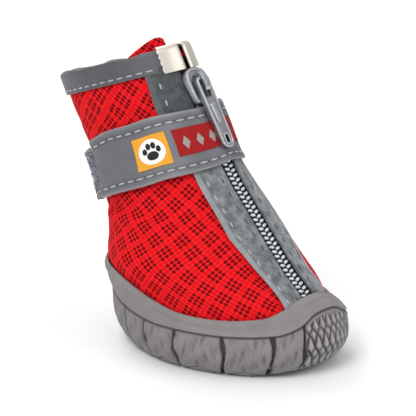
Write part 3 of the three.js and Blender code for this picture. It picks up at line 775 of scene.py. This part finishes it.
def stitches(name, path, out, long, gap, wide, proud, material):
    """A row of stitches along a path: short oval threads, each sunk at both of its ends."""
    length = np.concatenate([[0], np.cumsum(np.linalg.norm(np.diff(path, axis=0), axis=1))])
    count = int(length[-1] / (long + gap))
    at = (np.arange(count) + 0.5) * length[-1] / count
    centres = np.stack([np.interp(at, length, path[:, k]) for k in range(3)], -1)
    ahead = np.stack([np.interp(at + 0.5, length, path[:, k]) for k in range(3)], -1)
    behind = np.stack([np.interp(at - 0.5, length, path[:, k]) for k in range(3)], -1)
    normals = unit(np.stack([np.interp(at, length, out[:, k]) for k in range(3)], -1))
    tangents = unit(ahead - behind)
    row = bmesh.new()
    for centre, tangent, normal in zip(centres, tangents, normals):
        across = np.cross(normal, tangent)
        seat = (centre + normal * proud) * MM + (HEEL_X, 0, 0)
        axes = np.stack([tangent * long / 2, across * wide / 2, normal * wide * 0.42], -1) * MM
        matrix = Matrix([[*axes[k], seat[k]] for k in range(3)] + [[0, 0, 0, 1]])
        bmesh.ops.create_icosphere(row, subdivisions=2, radius=1.0, matrix=matrix)
    bmesh.ops.recalc_face_normals(row, faces=row.faces)
    data = bpy.data.meshes.new(name)
    row.to_mesh(data)
    row.free()
    return show(name, data, material)


# Microfibre suede: short brushed nap with a soft sheen; its mottle is partly the nap's own tone and partly
# painted sheen where the nap lies both ways. A painted highlight pales its turned outer edge, and painted
# shade darkens the strip above the strap.
grey_suede, tree, shader = new_finish("grey_microfibre_suede", 0.92,
                                      {"Sheen Weight": 0.35, "Sheen Roughness": 0.4})
place = add(tree, "TexCoord").outputs["Object"]
patches = add(tree, "TexNoise", {"Vector": place, "Scale": 420.0, "Detail": 3.0,
                                 "Roughness": 0.6}).outputs["Fac"]
nap = add(tree, "TexNoise", {"Vector": place, "Scale": 2600.0, "Detail": 3.0}).outputs["Fac"]
# Partly the nap's own tone, partly painted sheen.
nap_sheen_mottle = add(tree, "MapRange", {"Value": patches, "From Min": 0.36, "From Max": 0.66}).outputs[0]
tone = blend_colours(tree, nap_sheen_mottle, "#5c6062", "#8f9497")
fuzz = blend_colours(tree, nap, "#5a5e61", tone)
napped = add(tree, "Mix", {0: 0.5, 6: tone, 7: fuzz}, data_type="RGBA").outputs[2]
height = add(tree, "SeparateXYZ", {0: place}).outputs["Z"]
# Painted shade on the strip above the strap, from 0.061 to 0.066 m up.
painted_shade_above_strap = add(tree, "MapRange", {"Value": height, "From Min": 0.061, "From Max": 0.066,
                               "To Max": 0.68}).outputs[0]
# Painted highlight along the turned outer edge.
painted_light_mark = add(tree, "Attribute", attribute_name="painted_light_marks").outputs["Fac"]
edge_highlight_share = add(tree, "Math", {0: painted_light_mark, 1: 0.5}, operation="MULTIPLY").outputs[0]
nap_with_edge_highlight = blend_colours(tree, edge_highlight_share, napped, "#a0a4a6")
tree.links.new(blend_colours(tree, painted_shade_above_strap, nap_with_edge_highlight, "#27292c"), shader.inputs["Base Color"])
rough_up = add(tree, "Math", {0: patches, 1: nap}, operation="ADD").outputs[0]
bump = add(tree, "Bump", {"Height": rough_up, "Strength": 0.6, "Distance": 0.25 * MM})
tree.links.new(bump.outputs[0], shader.inputs["Normal"])


# Polyester thread: two twisted plies with a slight gloss, drawn as painted highlight bands on the slant.
def twisted(name, roughness, first, second, constants=None):
    """The thread's finish in one shade."""
    material, tree, shader = new_finish(name, roughness, constants)
    place = add(tree, "TexCoord").outputs["Object"]
    ply_highlight = add(tree, "TexWave", {"Vector": place, "Scale": 900.0, "Distortion": 2.0},
                bands_direction="DIAGONAL").outputs["Fac"]
    tree.links.new(blend_colours(tree, ply_highlight, first, second), shader.inputs["Base Color"])
    return material


pale_thread = twisted("pale_polyester_thread", 0.55, "#8a8d90", "#c2c5c7", {"Sheen Weight": 0.2})
dark_thread = twisted("dark_polyester_thread", 0.7, "#3c3f42", "#5d6063")

level = np.linspace(0.122, 0.945, 121)[:, None]
share = np.linspace(0, 1, 41)[None, :]
for side_name, side_sign in (("left", 1), ("right", -1)):
    columns = share if side_sign > 0 else 1 - share
    facing_mesh = laid("facing", facing_points(level, columns, side_sign))
    # The share of painted highlight along the strip's outer edge.
    store(facing_mesh, "painted_light_marks", smooth(0.86, 0.91, columns) + 0 * level)
    facing_strip = show(f"facing_{side_name}", facing_mesh, grey_suede)
    thicken(facing_strip, FACING_THICK, offset=1.0, rounding=0.22)
    for edge_name, edge_share, thread, wide in (("inner", 0.24, dark_thread, 0.62),
                                                ("outer", 0.74, pale_thread, 0.5)):
        for stretch, (low, high) in (("low", (0.14, 0.585)), ("high", (0.825, 0.918))):
            climb = np.linspace(low, high, 90)
            path = facing_points(climb, edge_share, side_sign, FACING_THICK)
            out = directions(climb, side_sign * angle_at(climb, 7.0))[1]
            stitches(f"facing_{side_name}_stitches_{edge_name}_{stretch}", path, out, 1.9, 2.2, wide, -0.04,
                     thread)

# ---------------------------------------------------------------- zip
# A nylon coil zip closes the opening: two black woven tapes, and on each a row of silver coated
# loops that hook into the other's. The slider rests near the top, so the coil is closed below it.

level = np.linspace(0.165, 0.955, 121)[:, None]
across_tape = np.linspace(-4.4, 4.4, 31)[None, :]
dip = -0.45 - 0.35 * np.exp(-(((np.abs(across_tape) - 2.2) / 0.7) ** 2))
tape_points = off(level, angle_at(level, across_tape + 0 * level), dip + 0 * level)

# Zip tape: fine black herringbone, drawn at 0.8 mm so that it shows.
black_tape, tree, shader = new_finish("black_zip_tape", 0.8)
flat = add(tree, "UVMap", uv_map="lengths").outputs["UV"]
twill = add(tree, "TexWave", {"Vector": flat, "Scale": 0.4, "Distortion": 0.6},
            bands_direction="DIAGONAL").outputs["Fac"]
tree.links.new(blend_colours(tree, twill, "#101012", "#2b2c2f"), shader.inputs["Base Color"])
bump = add(tree, "Bump", {"Height": twill, "Strength": 0.4, "Distance": 0.15 * MM})
tree.links.new(bump.outputs[0], shader.inputs["Normal"])
tape = show("zip_tape", laid("zip_tape", tape_points), black_tape, replaces=["zip_chain"])
thicken(tape, 0.4)

# Coated nylon monofilament: smooth, bright and a little metallic.
silver_coil, tree, shader = new_finish("silver_coated_nylon", 0.32, {"Metallic": 0.55})
place = add(tree, "TexCoord").outputs["Object"]
scuff = add(tree, "TexNoise", {"Vector": place, "Scale": 900.0, "Detail": 3.0}).outputs["Fac"]
tree.links.new(blend_colours(tree, scuff, "#b9bcc0", "#eef0f2"), shader.inputs["Base Color"])
gloss = add(tree, "MapRange", {"Value": scuff, "To Min": 0.24, "To Max": 0.42}).outputs[0]
tree.links.new(gloss, shader.inputs["Roughness"])

LOOP_PITCH = 1.5
climb = np.linspace(0.172, 0.852, 600)
spine = off(climb, 0.0 * climb, 0.0)
spine_out = directions(climb, 0.0 * climb)[1]
spine_run = np.concatenate([[0], np.cumsum(np.linalg.norm(np.diff(spine, axis=0), axis=1))])
coil = bmesh.new()
for number in range(int(2 * spine_run[-1] / LOOP_PITCH)):
    at = number * LOOP_PITCH / 2
    centre = Vector([np.interp(at, spine_run, spine[:, k]) for k in range(3)])
    out = Vector([np.interp(at, spine_run, spine_out[:, k]) for k in range(3)]).normalized()
    side_sign = 1 if number % 2 else -1
    across = Vector((0, side_sign, 0))
    climb_way = Vector((0, 1, 0)).cross(out).normalized() * -1
    lean = (across + climb_way * 0.28).normalized()
    thin = lean.cross(out).normalized()
    # Each loop shows as a fat slanted oval that stands proud of the tape.
    middle = centre + across * 1.02
    axes = [lean * 0.98, thin * 0.50, out * 0.62]
    matrix = Matrix([[*(axis[k] * MM for axis in axes), middle[k] * MM + (HEEL_X if k == 0 else 0)]
                     for k in range(3)] + [[0, 0, 0, 1]])
    bmesh.ops.create_icosphere(coil, subdivisions=2, radius=1.0, matrix=matrix)
bmesh.ops.recalc_face_normals(coil, faces=coil.faces)
coil_mesh = bpy.data.meshes.new("zip_coil")
coil.to_mesh(coil_mesh)
coil.free()
show("zip_coil", coil_mesh, silver_coil)

# ---------------------------------------------------------------- slider and pull
# The slider is a zinc casting with a gunmetal plating: a shield-shaped body and an arched bail.
# The pull is a long cast tab with a window round the bail's bar, a pad on its front and an end slot.
# Its border and the ring round its slot stand proud of the tab on the front and, less, on the back.

SLIDER_LEVEL = 0.875
slider_seat = off(SLIDER_LEVEL, 0.0, 0.0)
slider_up = unit(off(SLIDER_LEVEL + 0.01, 0.0, 0.0) - off(SLIDER_LEVEL - 0.01, 0.0, 0.0))


def stand_on(seat, up):
    """The frame of a flat part: x across the boot, y up the part, z out of it, in the boot's metres."""
    out = np.array([up[2], 0.0, -up[0]])
    across = np.cross(up, out)
    origin = seat * MM + (HEEL_X, 0, 0)
    return Matrix([[across[k] * MM, up[k] * MM, out[k] * MM, origin[k]] for k in range(3)] + [[0, 0, 0, 1]])


def eased(corners):
    """An outline with its corners rounded. Each corner is x, y and how far back the curve starts."""
    points = []
    for number, (x, y, ease) in enumerate(corners):
        here, before, after = (Vector(corners[(number + k) % len(corners)][:2]) for k in (0, -1, 1))
        start = here + (before - here).normalized() * ease
        stop = here + (after - here).normalized() * ease
        points += [start * (1 - t) ** 2 + here * 2 * t * (1 - t) + stop * t * t
                   for t in (0, 0.2, 0.4, 0.6, 0.8, 1)]
    return points


def plate(name, outlines, low, high, bevel, matrix):
    """A flat plate between two heights, from an outline and its holes, with rounded edges."""
    drawn = bpy.data.curves.new(name, "CURVE")
    drawn.dimensions = "2D"
    drawn.fill_mode = "BOTH"
    drawn.extrude = (high - low) / 2 - bevel
    drawn.bevel_depth = bevel
    drawn.bevel_resolution = 2
    drawn.offset = -bevel
    for outline in outlines:
        spline = drawn.splines.new("POLY")
        spline.points.add(len(outline) - 1)
        for point, (x, y) in zip(spline.points, outline):
            point.co = (x, y, 0, 1)
        spline.use_cyclic_u = True
    holder = bpy.data.objects.new(name, drawn)
    data = bpy.data.meshes.new_from_object(holder)
    bpy.data.objects.remove(holder)
    shape = bmesh.new()
    shape.from_mesh(data)
    bmesh.ops.remove_doubles(shape, verts=shape.verts, dist=1e-3)
    bmesh.ops.recalc_face_normals(shape, faces=shape.faces)
    bmesh.ops.translate(shape, verts=shape.verts, vec=(0, 0, (low + high) / 2))
    bmesh.ops.transform(shape, verts=shape.verts, matrix=matrix)
    shape.to_mesh(data)
    shape.free()
    return data


def crease_edges(piece, degrees=35):
    """Keeps the shading crisp where a casting's faces meet."""
    piece.data.set_sharp_from_angle(angle=radians(degrees))
    return piece


# Gunmetal plate on cast zinc: a grey metal, polished bright on the bail, rims and pad and left
# duller on the slider's body and the tab.
def plated(name, first, second, low, high):
    """The plating, rubbed bright or left dull, with a haze of small scratches 2 mm across."""
    material, tree, shader = new_finish(name, low, {"Metallic": 1.0})
    place = add(tree, "TexCoord").outputs["Object"]
    haze = add(tree, "TexNoise", {"Vector": place, "Scale": 500.0, "Detail": 2.0}).outputs["Fac"]
    tree.links.new(blend_colours(tree, haze, first, second), shader.inputs["Base Color"])
    gloss = add(tree, "MapRange", {"Value": haze, "To Min": low, "To Max": high}).outputs[0]
    tree.links.new(gloss, shader.inputs["Roughness"])
    return material


gunmetal = plated("gunmetal_plated_zinc", "#a9abaf", "#cdcfd2", 0.26, 0.38)
dull_zinc = plated("dull_recessed_zinc", "#8a8c91", "#a5a7ab", 0.36, 0.5)

slider_frame = stand_on(slider_seat, slider_up)
BODY_CORNERS = [(-3.5, -5.3, 1.5), (3.5, -5.3, 1.5), (4.2, 2.3, 0.6), (3.7, 4.2, 1.2), (1.2, 5.3, 0.6),
                (-1.2, 5.3, 0.6), (-3.7, 4.2, 1.2), (-4.2, 2.3, 0.6)]
body_outline = eased(BODY_CORNERS)
body_data = plate("slider_body", [body_outline], 0.95, 2.70, 0.4, slider_frame)
crease_edges(show("slider_body", body_data, dull_zinc, replaces=["zip_slider"]))
rim_outline = eased([(x * 0.99, y * 0.99, ease) for x, y, ease in BODY_CORNERS])
rim_hole = eased([(x * 0.79, y * 0.84, ease * 0.8) for x, y, ease in BODY_CORNERS])[::-1]
crease_edges(show("slider_rim", plate("slider_rim", [rim_outline, rim_hole], 2.2, 3.1, 0.2, slider_frame),
                  gunmetal))

# The bail: a strap of metal bent over in an arch along the slider.
arch = eased([(-2.15, 2.5, 0.01), (-2.15, 5.5, 1.6), (2.95, 5.5, 1.6), (2.95, 2.5, 0.01)])
arch_line = np.array([(p.x, p.y) for p in arch])
bail_points = np.array([[(x, y, z) for y, z in arch_line] for x in np.linspace(-0.9, 0.9, 5)])
shape_points = bail_points.reshape(-1, 3) @ np.array(slider_frame)[:3, :3].T + np.array(slider_frame)[:3, 3]
bail = laid("slider_bail", (shape_points.reshape(bail_points.shape) - (HEEL_X, 0, 0)) / MM)
thicken(crease_edges(show("slider_bail", bail, gunmetal)), 0.9, offset=0.0, rounding=0.25)

PULL_LENGTH, PULL_THICK = 21.0, 1.3
hinge = np.array(frame["joints"][0]["pos_m"])
pull_hinge = (hinge - (HEEL_X, 0, 0)) / MM
pull_rest = off(0.70, 0.0, 1.0 + 1.2 + 0.3 + PULL_THICK / 2)
pull_frame = stand_on(pull_hinge, unit(pull_hinge - pull_rest))
tab = eased([(-2.6, 0.45, 0.8), (2.6, 0.45, 0.8), (2.35, -12.0, 0.5), (2.2, -PULL_LENGTH, 2.1),
             (-2.2, -PULL_LENGTH, 2.1), (-2.35, -12.0, 0.5)])
window = eased([(-1.45, -0.45, 0.3), (-1.35, -5.4, 0.6), (1.35, -5.4, 0.6), (1.45, -0.45, 0.3)])
end_slot = eased([(-0.62, -17.2, 0.3), (-0.62, -19.5, 0.3), (0.62, -19.5, 0.3), (0.62, -17.2, 0.3)])
tab_data = plate("pull_tab", [tab, window, end_slot], -PULL_THICK / 2, PULL_THICK / 2, 0.25, pull_frame)
crease_edges(show("pull_tab", tab_data, dull_zinc, body="pull", replaces=["zip_pull"]))
border_hole = eased([(-1.95, -0.25, 0.4), (-1.70, -12.0, 0.5), (-1.55, -PULL_LENGTH + 0.7, 1.5),
                     (1.55, -PULL_LENGTH + 0.7, 1.5), (1.70, -12.0, 0.5), (1.95, -0.25, 0.4)])
slot_rim = eased([(-1.15, -16.6, 0.5), (1.15, -16.6, 0.5), (1.15, -20.1, 0.5), (-1.15, -20.1, 0.5)])
for part, outlines in (("border", [tab, border_hole]), ("slot_ring", [slot_rim, end_slot])):
    ring_data = plate("pull_ring", outlines, -PULL_THICK / 2 - 0.12, PULL_THICK / 2 + 0.32, 0.15, pull_frame)
    crease_edges(show(f"pull_{part}", ring_data, gunmetal, body="pull"))
pad = eased([(-1.1, -13.6, 0.9), (1.1, -13.6, 0.9), (1.3, -7.4, 0.9), (-1.3, -7.4, 0.9)])
pad_data = plate("pull_pad", [pad], PULL_THICK / 2 - 0.1, PULL_THICK / 2 + 0.3, 0.19, pull_frame)
crease_edges(show("pull_pad", pad_data, gunmetal, body="pull"))

# ---------------------------------------------------------------- collar binding
# Grey reflective tape is folded over the top edge and sewn through, all round but for the zip.

BINDING_THICK = 0.6


def folded(low, gap, share, angle, wave=0.0):
    """A channel folded over the collar edge: share 0 low outside, 0.5 on the edge, 1 low inside."""
    share, angle = np.broadcast_arrays(share, angle)
    outer = share < 0.4
    turn = np.clip((share - 0.4) / 0.2, 0, 1) * pi
    down = np.where(outer, 1 - share / 0.4, np.clip((share - 0.6) / 0.4, 0, 1))
    half = WALL / 2 + gap
    proud = half * np.cos(turn) - WALL / 2
    lift = (gap + 0.15 + wave) * np.abs(np.sin(turn)) ** 0.7 + wave * (1 - down) * (turn == 0)
    return off(COLLAR - (COLLAR - low) * down, angle, proud, lift)


# Reflective tape: glass beads in a grey polyurethane film on a fine woven ground, so it is smooth,
# evenly grey and slightly silvery; the beads are drawn at 0.3 mm, and the collar's tape is darker.
def reflective(name, dark, pale, bead):
    """The tape's finish in one shade; a painted highlight pales its edges and painted shade darkens its
    seams.
    """
    material, tree, shader = new_finish(name, 0.48, {"Metallic": 0.15})
    flat = add(tree, "UVMap", uv_map="lengths").outputs["UV"]
    beads = add(tree, "TexNoise", {"Vector": flat, "Scale": 3.2, "Detail": 2.0}).outputs["Fac"]
    wear = add(tree, "TexNoise", {"Vector": flat, "Scale": 0.22, "Detail": 4.0}).outputs["Fac"]
    glint = add(tree, "Math", {0: beads, 1: 0.35}, operation="MULTIPLY").outputs[0]
    beaded = blend_colours(tree, glint, blend_colours(tree, wear, dark, pale), bead)
    # Painted light on the tape: plus values a highlight, minus values shade.
    painted_light_mark = add(tree, "Attribute", attribute_name="painted_light_marks").outputs["Fac"]
    painted_shade_share = add(tree, "MapRange", {"Value": painted_light_mark, "From Min": 0.0, "From Max": -1.0}).outputs[0]
    with_painted_shade = blend_colours(tree, painted_shade_share, beaded, "#2b2c2f")
    tree.links.new(blend_colours(tree, painted_light_mark, with_painted_shade, "#b3b5b8"), shader.inputs["Base Color"])
    ribs = add(tree, "TexWave", {"Vector": flat, "Scale": 0.6, "Distortion": 0.3},
               bands_direction="Y").outputs["Fac"]
    texture = add(tree, "Math", {0: ribs, 1: beads}, operation="ADD").outputs[0]
    bump = add(tree, "Bump", {"Height": texture, "Strength": 0.25, "Distance": 0.12 * MM})
    tree.links.new(bump.outputs[0], shader.inputs["Normal"])
    return material


reflective_tape = reflective("grey_reflective_tape", "#545559", "#6c6d71", "#808286")
binding_tape = reflective("dark_reflective_tape", "#414246", "#55565a", "#6d6f73")

share = np.linspace(0, 1, 41)[:, None]
edge = float(angle_at(COLLAR, SLOT))
angle = np.linspace(edge, 2 * pi - edge, 221)[None, :]
free = smooth(0.6, 0.9, angle) * smooth(0.6, 0.9, 2 * pi - angle)
wave = free * (0.30 * np.sin(9 * angle + 0.6) + 0.18 * np.sin(15 * angle))
binding_points = folded(0.928, 0.3, share, angle, wave)[:, ::-1]
binding = show("collar_binding_tape", laid("collar_binding_tape", binding_points), binding_tape,
               replaces=["collar_binding"])
thicken(binding, BINDING_THICK, rounding=0.2)
seam = np.linspace(0.62, 2 * pi - 0.62, 400)
stitches("collar_stitches", off(0.938, seam, 0.3 + BINDING_THICK + 0.05), directions(0.938, seam)[1],
         2.2, 0.9, 0.45, 0.0, pale_thread)

# ---------------------------------------------------------------- clamps
# A plate of nickelled steel is folded over the binding's end on each side of the zip and pressed
# tight; its far edge is cut in small scallops that bite the tape, and the left one is lightly fluted.

# Nickel plate: warm silver, brushed once, with soft broad reflections.
nickel, tree, shader = new_finish("nickel_plated_steel", 0.36, {"Metallic": 0.6})
flat = add(tree, "UVMap", uv_map="lengths").outputs["UV"]
brushed = add(tree, "Mapping", {"Vector": flat, "Scale": (0.6, 6.0, 1.0)}).outputs[0]
strokes = add(tree, "TexNoise", {"Vector": brushed, "Scale": 1.0, "Detail": 3.0}).outputs["Fac"]
tree.links.new(blend_colours(tree, strokes, "#cdc6b9", "#e9e3d7"), shader.inputs["Base Color"])
gloss = add(tree, "MapRange", {"Value": strokes, "To Min": 0.30, "To Max": 0.44}).outputs[0]
tree.links.new(gloss, shader.inputs["Roughness"])

CLAMP_LOW, CLAMP_REACH = 0.922, radians(28)
near = float(angle_at(COLLAR, 0.9))
share = np.linspace(0, 1, 61)[:, None]
for side_name, side_sign in (("left", 1), ("right", -1)):
    across_share = np.linspace(0, 1, 29)[None, :]
    scallops = 0.022 * (np.abs(np.sin(pi * share * 9)) - 0.6) * smooth(0.60, 1.0, across_share)
    angle = side_sign * (near + (CLAMP_REACH - near) * across_share + scallops)
    flutes = 0.10 * np.sin(2.5 * 2 * pi * across_share) * (side_sign > 0)
    rolled = 0.25 * smooth(0.12, 0.0, across_share)
    clamp_points = folded(CLAMP_LOW, 0.3 + BINDING_THICK + 0.3 - rolled + flutes, share, angle)
    if side_sign > 0:
        clamp_points = clamp_points[:, ::-1]
    clamp = show(f"clamp_{side_name}", laid("clamp", clamp_points), nickel,
                 replaces=[f"binding_clamp_{side_name}"])
    thicken(crease_edges(clamp, 50), 0.5, rounding=0.15)

# ---------------------------------------------------------------- ankle strap
# A hook-and-loop strap about 18 mm wide closes the ankle over the zip. It is grey reflective tape round
# a stiff core, with a stitched border along both edges and a plain cut end at the right rear.

# Degrees from the front, lower and upper edge as levels on the last.
STRAP_EDGES = [
    (0, 0.618, 0.812), (27, 0.606, 0.816), (45, 0.598, 0.818), (67, 0.582, 0.812), (90, 0.560, 0.802),
    (118, 0.530, 0.774), (140, 0.512, 0.758), (180, 0.504, 0.750),
]
STRAP_RIGHT, STRAP_LEFT = radians(114), radians(128)
PILE_FROM, PILE_TO = radians(128.8), radians(252)
STRAP_THICK = 1.2


def strap_points(share, angle, proud=0.0):
    """A point of the strap's outer face: share 0 at the lower edge to 1 at the upper."""
    low, high = table_at(STRAP_EDGES, angle)
    over_pile = 2 * pi - PILE_TO
    inner = 1.0 + 0.6 * smooth(0.8 * over_pile, over_pile, -angle)
    hem = (0.14 * (lines(share - 0.05, 0.05) + lines(share - 0.95, 0.05))
           - 0.10 * (lines(share - 0.13, 0.03) + lines(share - 0.87, 0.03)))
    bow = 0.12 * np.sin(2.6 * angle + 0.8) * np.sin(pi * share)
    flutter = 0.0012 * np.sin(6.3 * angle + 0.7) + 0.0008 * np.sin(11 * angle)
    gape = 1.7 * smooth(0.15, 0.95, share) * lines(angle - 0.72, 0.30)
    return off(low + share * (high - low) + flutter, angle, inner + STRAP_THICK + hem + bow + gape + proud)


share = np.linspace(0, 1, 33)[:, None]
angle = np.linspace(-STRAP_RIGHT, STRAP_LEFT, 241)[None, :]
strap_mesh = laid("ankle_strap_tape", strap_points(share, angle))
# Painted shade along the stitched seams, and a painted highlight on the strap's lips.
painted_seam_shade = lines(share - 0.13, 0.03) + lines(share - 0.87, 0.03)
painted_lip_highlight = lines(share, 0.025) + lines(share - 1, 0.03)
store(strap_mesh, "painted_light_marks", 0.45 * painted_lip_highlight - 0.6 * painted_seam_shade + 0 * angle)
strap = show("ankle_strap_tape", strap_mesh, reflective_tape, replaces=["ankle_strap"])
thicken(strap, STRAP_THICK, rounding=0.3)
seam = np.linspace(-STRAP_RIGHT + 0.05, STRAP_LEFT - 0.05, 400)
for edge_name, edge_share in (("lower", 0.13), ("upper", 0.87)):
    stitches(f"strap_stitches_{edge_name}", strap_points(edge_share, seam), directions(0.7, seam)[1],
             2.4, 0.7, 0.55, 0.02, pale_thread)

# ---------------------------------------------------------------- badge and label
# Two woven patches are sewn to the strap at the right front: a square orange badge with a white
# disc and a plain paw, and a dark red label with a row of small grey lozenges.


def strap_patch(x0, x1, y0, y1, columns, rows, proud):
    """A patch on the strap, its sides given in radians round and in shares of the strap's height."""
    x = np.linspace(x0, x1, columns + 1)[None, :]
    y = np.linspace(y0, y1, rows + 1)[:, None]
    return strap_points(y, x, proud)


def strap_disc(centre_x, centre_y, half_x, half_y, proud, dome=0.0, sides=32, turned=0.0):
    """A round or many-sided spot on the strap, in the same measures, with a slight dome."""
    a = np.linspace(2 * pi, 0, sides + 1)[None, :] + turned
    r = np.array([0.0, 0.35, 0.7, 0.92, 1.0, 1.0])[:, None]
    rise = proud + dome * (1 - r**2) - np.array([0, 0, 0, 0, 0.05, 0.3])[:, None]
    return strap_points(centre_y + half_y * r * np.sin(a), centre_x + half_x * r * np.cos(a), rise)


def woven(name, first, second, thread):
    """Satin-woven patch: fine weft ribs of the given spacing in millimetres, with a silky gloss."""
    material, tree, shader = new_finish(name, 0.7, {"Specular IOR Level": 0.2})
    flat = add(tree, "UVMap", uv_map="lengths").outputs["UV"]
    weft = add(tree, "TexWave", {"Vector": flat, "Scale": 0.314 / thread, "Distortion": 0.4},
               bands_direction="Y").outputs["Fac"]
    uneven = add(tree, "TexNoise", {"Vector": flat, "Scale": 1.6, "Detail": 3.0}).outputs["Fac"]
    mixed = add(tree, "Math", {0: weft, 1: uneven}, operation="MULTIPLY").outputs[0]
    tree.links.new(blend_colours(tree, mixed, first, second), shader.inputs["Base Color"])
    bump = add(tree, "Bump", {"Height": weft, "Strength": 0.35, "Distance": 0.1 * MM})
    tree.links.new(bump.outputs[0], shader.inputs["Normal"])
    return material


orange_weave = woven("orange_woven_badge", "#dd9424", "#f6bd4a", 0.45)
white_weave = woven("white_woven_disc", "#e6e6e4", "#ffffff", 0.45)
dark_weave = woven("dark_woven_paw", "#1b1b1f", "#3a3a40", 0.45)
red_weave = woven("dark_red_woven_label", "#8c1113", "#b01e20", 0.5)
grey_weave = woven("grey_woven_mark", "#8d8583", "#b4aaa6", 0.45)

BADGE = (radians(-60), 0.50, 0.229, 0.258)    # middle, and half its sides
bx, by, bw, bh = BADGE
badge_points = strap_patch(bx - bw, bx + bw, by - bh, by + bh, 26, 26, 0.28)
badge = show("badge_patch", laid("badge_patch", badge_points), orange_weave)
thicken(badge, 0.25, rounding=0.08)
disc_points = strap_disc(bx, by, 0.78 * bw, 0.78 * bh, 0.36)
show("badge_disc", laid("badge_disc", disc_points, weld=True), white_weave)

# The paw's pad and four toes: middle and half sizes, in shares of half the badge.
PAW = [(0.0, -0.24, 0.34, 0.28), (-0.40, 0.10, 0.14, 0.19), (-0.15, 0.36, 0.14, 0.20),
       (0.15, 0.36, 0.14, 0.20), (0.40, 0.10, 0.14, 0.19)]
for number, (px, py, pw, ph) in enumerate(PAW):
    spot = strap_disc(bx + px * bw, by + py * bh, pw * bw, ph * bh, 0.42, dome=0.10, sides=20)
    show(f"badge_paw_{number + 1}", laid("badge_paw", spot, weld=True), dark_weave)

LABEL = (radians(-41.5), radians(26), 0.32, 0.75)    # from and to, round and up the strap
label = show("label_patch", laid("label_patch", strap_patch(*LABEL, 60, 20, 0.25)), red_weave)
thicken(label, 0.22, rounding=0.08)
for number in range(5):
    spot = strap_disc(radians(-33 + 11.5 * number), 0.52, 0.055, 0.11, 0.32, sides=4)
    show(f"label_lozenge_{number + 1}", laid("label_lozenge", spot, weld=True), grey_weave)

# ---------------------------------------------------------------- pile band
# The strap's hooks catch on a band of brushed loops sewn round the back of the ankle: a knitted
# ground with thousands of soft off-white and mauve loops, one to two millimetres deep.


def pile_points(share, angle, proud):
    low, high = table_at(STRAP_EDGES, angle)
    low, high = low + 0.012, high - 0.022
    return off(low + share * (high - low), angle, proud)


# Brushed nylon loops: translucent, very soft, off-white with a mauve cast.
loop_pile, tree, shader = new_finish("brushed_nylon_loops", 0.95, {
    "Sheen Weight": 0.3, "Subsurface Weight": 0.7, "Subsurface Scale": 0.002})
place = add(tree, "TexCoord").outputs["Object"]
tufts = add(tree, "TexNoise", {"Vector": place, "Scale": 700.0, "Detail": 3.0}).outputs["Fac"]
tree.links.new(blend_colours(tree, tufts, "#e4daee", "#ffffff"), shader.inputs["Base Color"])
bump = add(tree, "Bump", {"Height": tufts, "Strength": 0.8, "Distance": 0.3 * MM})
tree.links.new(bump.outputs[0], shader.inputs["Normal"])

share = np.linspace(0, 1, 25)[:, None]
angle = np.linspace(PILE_FROM, PILE_TO, 121)[None, :]
ground_mesh = laid("pile_ground", pile_points(share, angle, 0.75 + 0 * share))
ground = show("pile_ground", ground_mesh, loop_pile, replaces=["strap_pile"])
thicken(ground, 0.6, rounding=0.15)

# One loop is a half ring of thin yarn, spun from a three-sided section.
loop = bmesh.new()
upright = Matrix.Translation((0.42, 0, 0)) @ Matrix.Rotation(pi / 2, 4, "X")
bmesh.ops.create_circle(loop, segments=3, radius=0.13, matrix=upright)
bmesh.ops.spin(loop, geom=loop.verts[:] + loop.edges[:], cent=(0, 0, 0), axis=(0, -1, 0), angle=pi, steps=5,
               use_merge=False, use_duplicate=False)
bmesh.ops.recalc_face_normals(loop, faces=loop.faces)
loop_spots = np.array([v.co for v in loop.verts])
loop_faces = np.array([[v.index for v in face.verts] for face in loop.faces])
loop.free()

dice = np.random.default_rng(7)
LOOPS = 5200
at_share, at_angle = dice.uniform(0.0, 1.0, LOOPS), dice.uniform(PILE_FROM + 0.01, PILE_TO - 0.01, LOOPS)
free = smooth(2 * pi - STRAP_RIGHT, 2 * pi - STRAP_RIGHT - 0.06, at_angle)
seats = pile_points(at_share, at_angle, 0.65 + dice.uniform(0.0, 0.3 + 1.2 * free))
loop_up, loop_out = directions(0.65 + 0 * at_angle, at_angle)
turned = dice.uniform(0, pi, LOOPS)[:, None]
sideways = np.cross(loop_up, loop_out)
loop_along = loop_up * np.cos(turned) + sideways * np.sin(turned)
loop_out = unit(loop_out + 0.5 * sideways * dice.uniform(-1, 1, LOOPS)[:, None]
                + 0.5 * loop_up * dice.uniform(-1, 1, LOOPS)[:, None])
tall = dice.uniform(0.9, 1.5, LOOPS)
axes = np.stack([loop_along, np.cross(loop_out, loop_along), loop_out * tall[:, None]], -1)
spots = np.einsum("nij,vj->nvi", axes, loop_spots) + seats[:, None]
faces = loop_faces[None] + len(loop_spots) * np.arange(LOOPS)[:, None, None]
loops_mesh = bpy.data.meshes.new("pile_loops")
placed = spots.reshape(-1, 3) * MM + (HEEL_X, 0, 0)
loops_mesh.from_pydata(placed.tolist(), [], faces.reshape(-1, loop_faces.shape[1]).tolist())
show("pile_loops", loops_mesh, loop_pile)

size = {"cad": [list(corner) for corner in cad_box], "visual": [list(corner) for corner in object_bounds()]}
